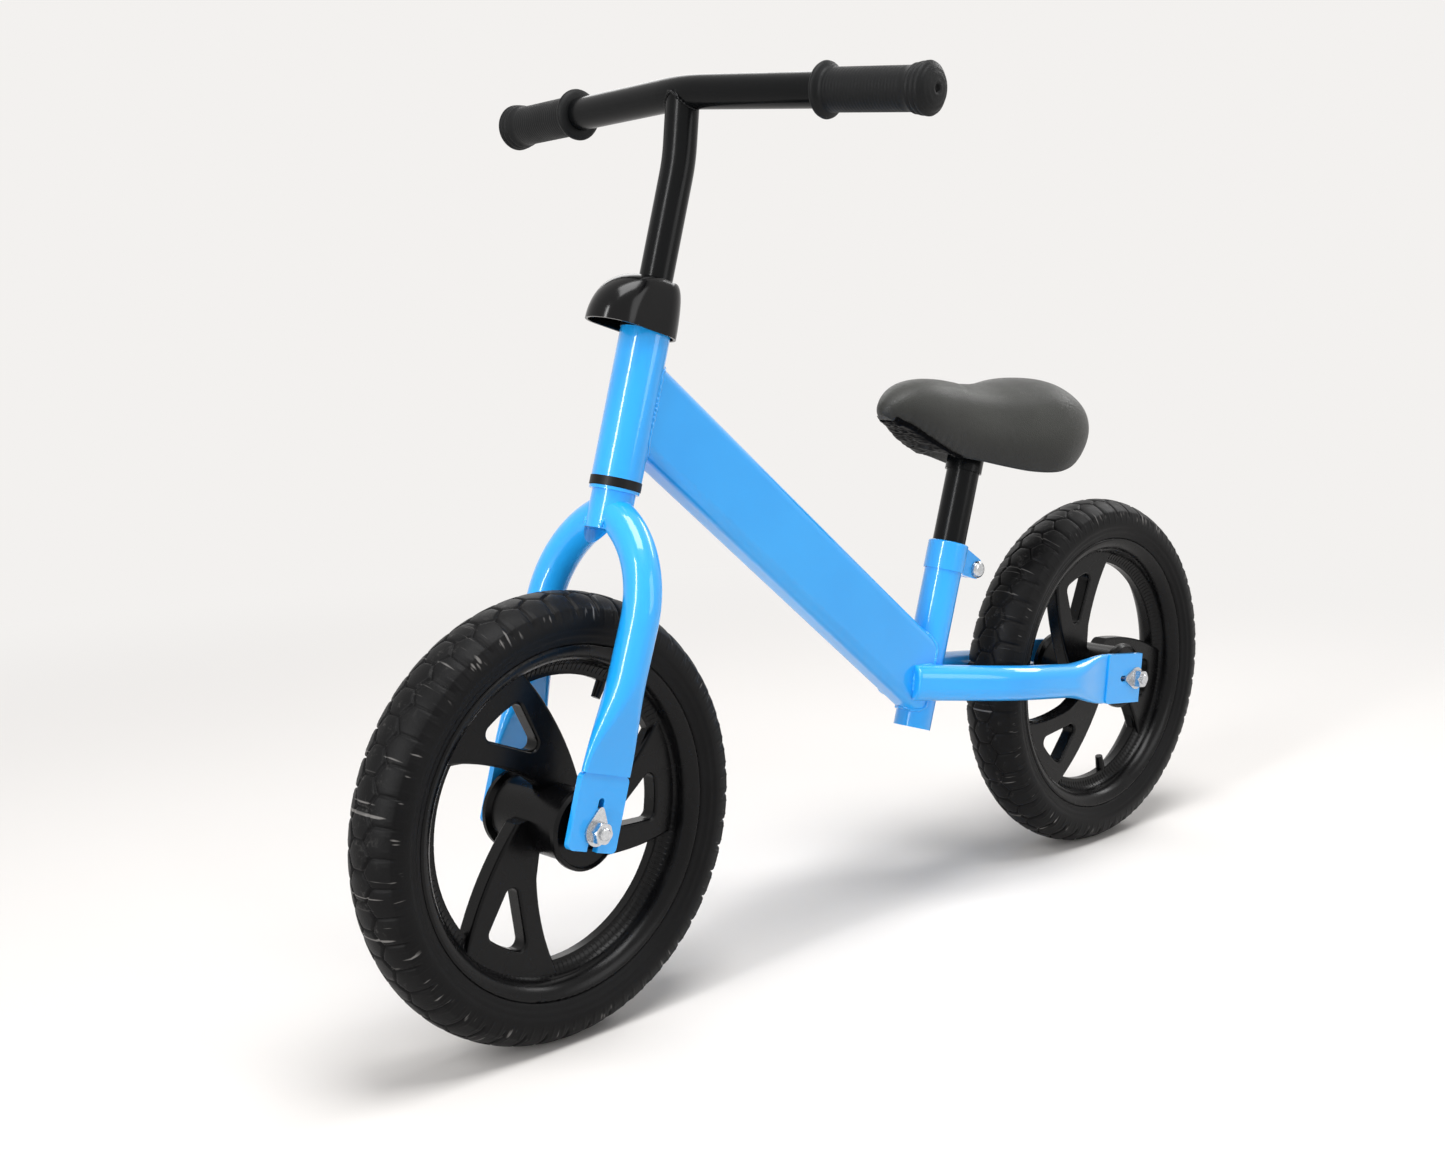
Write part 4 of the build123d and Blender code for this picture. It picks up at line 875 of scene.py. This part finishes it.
# %% Gathers
gather_pitch = 7 * mm
gather_wander = 11 * mm
gather_height = 0.45 * mm
gather_reach = 15 * mm
gathers_from, gathers_over = -125 * mm, 30 * mm
nose_x, nose_edge, edge_slope = -33 * mm, 376 * mm, 0.52
shape = bmesh.new()
shape.from_mesh(saddle.data)
shape.normal_update()
for vert in shape.verts:
    x = vert.co.x
    ahead = clamped((x - gathers_from) / gathers_over)
    edge_height = nose_edge + (x - nose_x) * edge_slope
    rise = max(0.0, vert.co.z - edge_height) / gather_reach
    gather = ahead * max(0.0, 1 - rise) * min(1.0, abs(vert.normal.y) + abs(vert.normal.x))
    wave = sin(2 * pi * x / gather_pitch + 2 * sin(x / gather_wander))
    vert.co += vert.normal * gather_height * gather * wave
shape.to_mesh(saddle.data)
shape.free()
rounding = saddle.modifiers.new("rounding", "SUBSURF")
rounding.levels = 1
rounding.render_levels = 1
print("saddle pad has", len(saddle.data.polygons), "faces")

# %% [markdown]
# ## The tuck under the saddle's nose
#
# Under the nose the vinyl is pulled together in deep, shiny crumples and stapled to the pan. It is
# the pad's own vinyl, coloured near black here as painted shade for the shade under the nose. A grid
# is laid round the nose's underside, a little outside the pad's own sections, so that its edges lap
# up over the pad's lower edge. Two layers of noise crumple it, the middle of its back end rises to
# the pan, and solidify gives it the vinyl's thickness.

# %% Gathered vinyl
# Painted shade: the near-black base colour and the faint shine make the pad's vinyl read as the shade under
# the nose.
shaded_gathered_vinyl, tree, place = new_finish(
    "gathered_pvc_leather_in_painted_shade", Base_Color=linear("#050506"), IOR=1.5, Specular_IOR_Level=0.025,
)
crumple = noise_on(tree, place, 220.0, 4.0)
set_roughness(tree, crumple, 0.24, 0.5)
print(shaded_gathered_vinyl.name, "roughness 0.24 to 0.50")

# %% Nose tuck
tuck_from = 1.15
tuck_rows = 3.1
tuck_lap = 5.0
under_steps = last_step - foot_step
steps_in_depth = 14
tuck_lift, tuck_swing = 1.3, 1.1
rise_from, rise_height = 0.75, 6.0
shape = bmesh.new()
bmesh.ops.create_grid(shape, x_segments=120, y_segments=60, size=1.0)
for vert in shape.verts:
    along = (vert.co.x + 1) / 2
    side = vert.co.y
    row = tuck_from + tuck_rows * along
    part = section_at(row)
    step_length = (part[4] - part[3]) / steps_in_depth
    lap_steps = tuck_lap * (1 - along ** 3) / step_length
    steps_out = abs(side) * (under_steps + lap_steps)
    x, out, up = saddle_point(row, last_step - steps_out, recessed=False)
    wave = noise.noise(Vector((x / 4.5, side * 2.2, 0.3)))
    wave += 0.5 * noise.noise(Vector((x / 2.0, side * 4.0, 7.0)))
    lift = tuck_lift + tuck_swing * wave
    outward = min(1.0, steps_out / under_steps)
    out += lift * outward ** 6
    up -= lift * (1 - 0.6 * outward ** 6)
    middle = max(0.0, 1 - (side * 1.25) ** 2)
    up += rise_height * max(0.0, (along - rise_from) / (1 - rise_from)) ** 2 * middle
    vert.co = Vector((x, out if side >= 0 else -out, up)) * mm
face_outward(shape)
tuck_area = sum(face.calc_area() for face in shape.faces)
tuck = as_piece("saddle_nose_tuck", shape, shaded_gathered_vinyl, "seat")
wall = tuck.modifiers.new("vinyl_thickness", "SOLIDIFY")
wall.thickness = 0.8 * mm
print("tuck area", round(tuck_area * 1e4, 1), "square centimetres")

# %% [markdown]
# ## Weld beads
#
# Where one tube is welded to another, a low ripple of metal runs round the joint and shows
# through the paint. Each bead starts as a thin ring. Every vertex then moves to the branch tube's
# outline and along its axis until the ring lies where the two tubes meet, and the ring's thickness
# swells and shrinks with the welder's steps.

# %% Bead helpers
ring_radius = 20 * mm
ring_steps = 160
ripples = 34
ripple_swing = 0.22


def weld_bead(name, foot, axis, wide, outline, height, thick, body="frame", keep=None,
              finish=blue_enamel):
    """A bead round a branch tube. outline and height give its radius and its place along the axis.
    What lies beyond the plane in keep, a point and a direction, is cut off."""
    axis = axis.normalized()
    wide = wide.normalized()
    deep = axis.cross(wide)
    shape = bmesh.new()
    cut = bmesh.ops.create_circle(shape, segments=8, radius=thick)
    bmesh.ops.rotate(shape, verts=cut["verts"], cent=(0, 0, 0), matrix=Matrix.Rotation(pi / 2, 3, "X"))
    bmesh.ops.translate(shape, verts=cut["verts"], vec=(ring_radius, 0, 0))
    bmesh.ops.spin(
        shape, geom=shape.verts[:] + shape.edges[:], cent=(0, 0, 0), axis=(0, 0, 1), angle=2 * pi,
        steps=ring_steps, use_merge=True,
    )
    bmesh.ops.remove_doubles(shape, verts=shape.verts[:], dist=0.005 * mm)
    face_outward(shape)
    for vert in shape.verts:
        turn = atan2(vert.co.y, vert.co.x)
        ripple = 1 + ripple_swing * sin(ripples * turn)
        radius = outline(turn) + (sqrt(vert.co.x ** 2 + vert.co.y ** 2) - ring_radius) * ripple
        along = height(turn, outline(turn)) + vert.co.z * ripple
        vert.co = foot + axis * along + (wide * cos(turn) + deep * sin(turn)) * radius
    if keep:
        point, away = keep
        bmesh.ops.bisect_plane(shape, geom=whole(shape), plane_co=point, plane_no=away, clear_outer=True)
        close_holes(shape)
    as_piece(name, shape, finish, body)


def rounded_box(half_wide, half_tall, corner):
    """The radius of a rounded rectangle at each angle, for a tube of that section."""
    inner_wide = half_wide - corner
    inner_tall = half_tall - corner

    def radius(turn):
        cosine = abs(cos(turn))
        sine = abs(sin(turn))
        away = 1 / max(cosine / half_wide, sine / half_tall)
        if cosine * away <= inner_wide or sine * away <= inner_tall:
            return away
        along = inner_wide * cosine + inner_tall * sine
        off = inner_wide ** 2 + inner_tall ** 2 - corner ** 2
        return along + sqrt(max(0.0, along * along - off))
    return radius


def always(value):
    """The same radius or height all the way round, for a round tube or a flat side."""
    return lambda *turn_and_radius: value


print("corner of the main tube's section:", round(rounded_box(14, 28, 9)(atan2(28, 14)), 2), "mm")

# %% Beads of the main tube
main_axis = (junction - head_joint).normalized()
main_up = main_axis.cross(across)
main_section = rounded_box(14 * mm, 28 * mm, 9 * mm)


def on_round_tube(tube_axis, tube_radius):
    """Where a main-tube wall meets a round tube whose axis crosses the main tube's."""
    slope = main_axis - tube_axis * main_axis.dot(tube_axis)

    def height(turn, radius):
        side = radius * cos(turn)
        lean = main_up * radius * sin(turn)
        lean_off = (lean - tube_axis * lean.dot(tube_axis)).dot(slope.normalized())
        reach = sqrt(max(0.0, tube_radius ** 2 - side ** 2))
        return (reach - lean_off) / slope.length
    return height


ahead_of_seat_tube = on_round_tube(seat_up, 15.0 * mm)


def on_seat_tube(turn, radius):
    """The same joint at the seat tube, measured back from the junction."""
    return -ahead_of_seat_tube(turn + pi, radius)


on_head_tube = on_round_tube(steer_up, 16.5 * mm)
weld_bead("head_joint_bead", head_joint, main_axis, across, main_section, on_head_tube, 1.5 * mm)
weld_bead("seat_joint_bead", junction, main_axis, across, main_section, on_seat_tube, 1.4 * mm)

# %% Beads of the stays
stay_back = (rear_axle - junction).normalized()
stay_mouth = junction - stay_back * 7 * mm
stay_section = rounded_box(19.4 * mm, 13.2 * mm, 11 * mm)
on_main_side = always(14.1 * mm)
for side, name in ((1, "left_stay_bead"), (-1, "right_stay_bead")):
    weld_bead(
        name, stay_mouth, across * side, stay_back, stay_section, on_main_side, 1.3 * mm,
        keep=(stay_mouth, stay_back),
    )

# %% Beads of the fork and the stem
steerer_radius = 14.3 * mm
blade_outline = always(12.1 * mm)
blade_spread = radians(60)
steerer_end = front_axle + steer_up * 187.5 * mm


def fork_bead(name, side):
    """The bead round one blade where it meets the steerer tube."""
    out = (across * side * sin(blade_spread) - steer_up * cos(blade_spread)).normalized()
    inner = out.cross(steer_ahead)

    def height(turn, radius):
        drift = inner.y * side * radius * cos(turn)
        reach = sqrt(max(0.0, steerer_radius ** 2 - (radius * sin(turn)) ** 2))
        return (reach - drift) / (out.y * side)
    weld_bead(
        name, blade_joint, out, inner, blade_outline, height, 1.3 * mm, "fork",
        keep=(steerer_end, -steer_up),
    )


fork_bead("left_fork_bead", 1)
fork_bead("right_fork_bead", -1)
bar_radius = 11.1 * mm
stem_outline = always(11.0 * mm)


def on_bar(turn, radius):
    """Where the stem's end meets the handlebar."""
    return sqrt(max(0.0, bar_radius ** 2 - (radius * sin(turn)) ** 2))


weld_bead(
    "stem_bead", bar_middle, stem_knee - bar_middle, across, stem_outline, on_bar, 1.2 * mm, "handlebar",
    finish=black_enamel,
)

# %% [markdown]
# ## The floor, the world and the light
#
# The photograph's light is a bright room with one tall window-like softbox ahead of the bike,
# which draws the white streaks down the head tube, the fork and the stem. Five area lamps make up
# the light: the tall one ahead, a broad one overhead, a strip high up behind the rear wheel that
# whitens the tops of the stays, and weak ones to the side and at the back. The floor is plain and
# pale. Near the bike it is lit and holds the shadow, and further off it fades into the colour of
# the backdrop, so no horizon shows.

# %% Floor
backdrop = linear("#f3f1ef")
fade_from, fade_to = 0.5, 1.7


def seen_directly(tree):
    """One for rays from the camera, a mirror or a glass, which see the backdrop, and zero for light."""
    path = add_node(tree, "ShaderNodeLightPath")
    seen = calculate(tree, "MAXIMUM", path.outputs["Is Camera Ray"], path.outputs["Is Glossy Ray"])
    return calculate(tree, "MAXIMUM", seen, path.outputs["Is Transmission Ray"])


floor_paint, tree, place = new_finish(
    "pale_studio_paper", Base_Color=linear("#e9e6e3"), Roughness=0.9, Specular_IOR_Level=0.1,
)
away = add_node(tree, "ShaderNodeVectorMath", links={0: place}, operation="LENGTH")
far = remap(tree, away.outputs["Value"], fade_from, fade_to, interpolation_type="SMOOTHSTEP")
share = calculate(tree, "MULTIPLY", far, seen_directly(tree))
glow = add_node(tree, "ShaderNodeEmission", {"Color": backdrop, "Strength": 1.0})
paint = tree.nodes[shader_name].outputs[0]
mix = add_node(tree, "ShaderNodeMixShader", links={0: share, 1: paint, 2: glow.outputs[0]})
tree.links.new(mix.outputs[0], tree.nodes["Material Output"].inputs["Surface"])
shape = bmesh.new()
bmesh.ops.create_circle(shape, cap_ends=True, segments=64, radius=40)
mesh = bpy.data.meshes.new("floor")
shape.to_mesh(mesh)
shape.free()
mesh.materials.append(floor_paint)
floor = bpy.data.objects.new("floor", mesh)
scene.collection.objects.link(floor)
print("floor", [round(part, 1) for part in floor.dimensions])

# %% World
world = bpy.data.worlds.new("pale_room")
scene.world = world
world.use_nodes = True
tree = world.node_tree
tree.nodes.clear()
room = add_node(tree, "ShaderNodeBackground", {"Color": linear("#f2f2f4"), "Strength": 0.24})
paper = add_node(tree, "ShaderNodeBackground", {"Color": backdrop, "Strength": 1.0})
mix = add_node(
    tree, "ShaderNodeMixShader", links={0: seen_directly(tree), 1: room.outputs[0], 2: paper.outputs[0]}
)
add_node(tree, "ShaderNodeOutputWorld", links={"Surface": mix.outputs[0]})
print("world", world.name)

# %% Lamps
def softbox(name, place, target, wide, tall, watts):
    """A rectangular lamp that looks at a point."""
    lamp = bpy.data.lights.new(name, "AREA")
    lamp.shape = "RECTANGLE"
    lamp.size = wide
    lamp.size_y = tall
    lamp.energy = watts
    holder = bpy.data.objects.new(name, lamp)
    holder.location = place
    holder.rotation_euler = (Vector(target) - Vector(place)).to_track_quat("-Z", "Y").to_euler()
    scene.collection.objects.link(holder)
    print(name, watts, "W")


softbox("tall_softbox", (2.6, 0.35, 1.3), (0, 0, 0.35), 0.32, 2.4, 52)
softbox("overhead_softbox", (0.2, 0.5, 2.6), (0, 0, 0.2), 1.3, 1.3, 52)
softbox("side_softbox", (-0.9, 2.6, 1.2), (0, 0, 0.3), 1.2, 1.6, 16)
softbox("rear_strip", (-2.1, 0.2, 1.6), (-0.2, 0.05, 0.2), 1.5, 0.35, 16)
softbox("back_softbox", (-1.6, -2.2, 1.8), (0, 0, 0.3), 1.4, 1.4, 12)

# %% [markdown]
# ## The camera
#
# The photograph was taken from ahead and to the left, a little below the handlebar's height, with
# the bike turned about 45 degrees. The camera's place was worked out from the wheels, which are
# circles of one size.

# %% Camera
camera_place = Vector((1033.74 * mm, 912.78 * mm, 494.41 * mm))
looking = Vector((-0.69093, -0.70390, -0.16475)).normalized()
level = looking.cross(Vector((0, 0, 1))).normalized()
above = level.cross(looking).normalized()
tilt = radians(-0.9)
right = level * cos(tilt) + above * sin(tilt)
top = above * cos(tilt) - level * sin(tilt)
view = Matrix((right, top, -looking)).transposed().to_4x4()
view.translation = camera_place
lens = bpy.data.cameras.new("photo_camera")
lens.sensor_fit = "HORIZONTAL"
lens.sensor_width = 36.0
lens.lens = 47.32
lens.clip_end = 100.0
camera = bpy.data.objects.new("photo_camera", lens)
camera.matrix_world = view
scene.collection.objects.link(camera)
scene.camera = camera
scene.view_settings.view_transform = "Standard"
print("camera looks along", [round(part, 3) for part in looking])
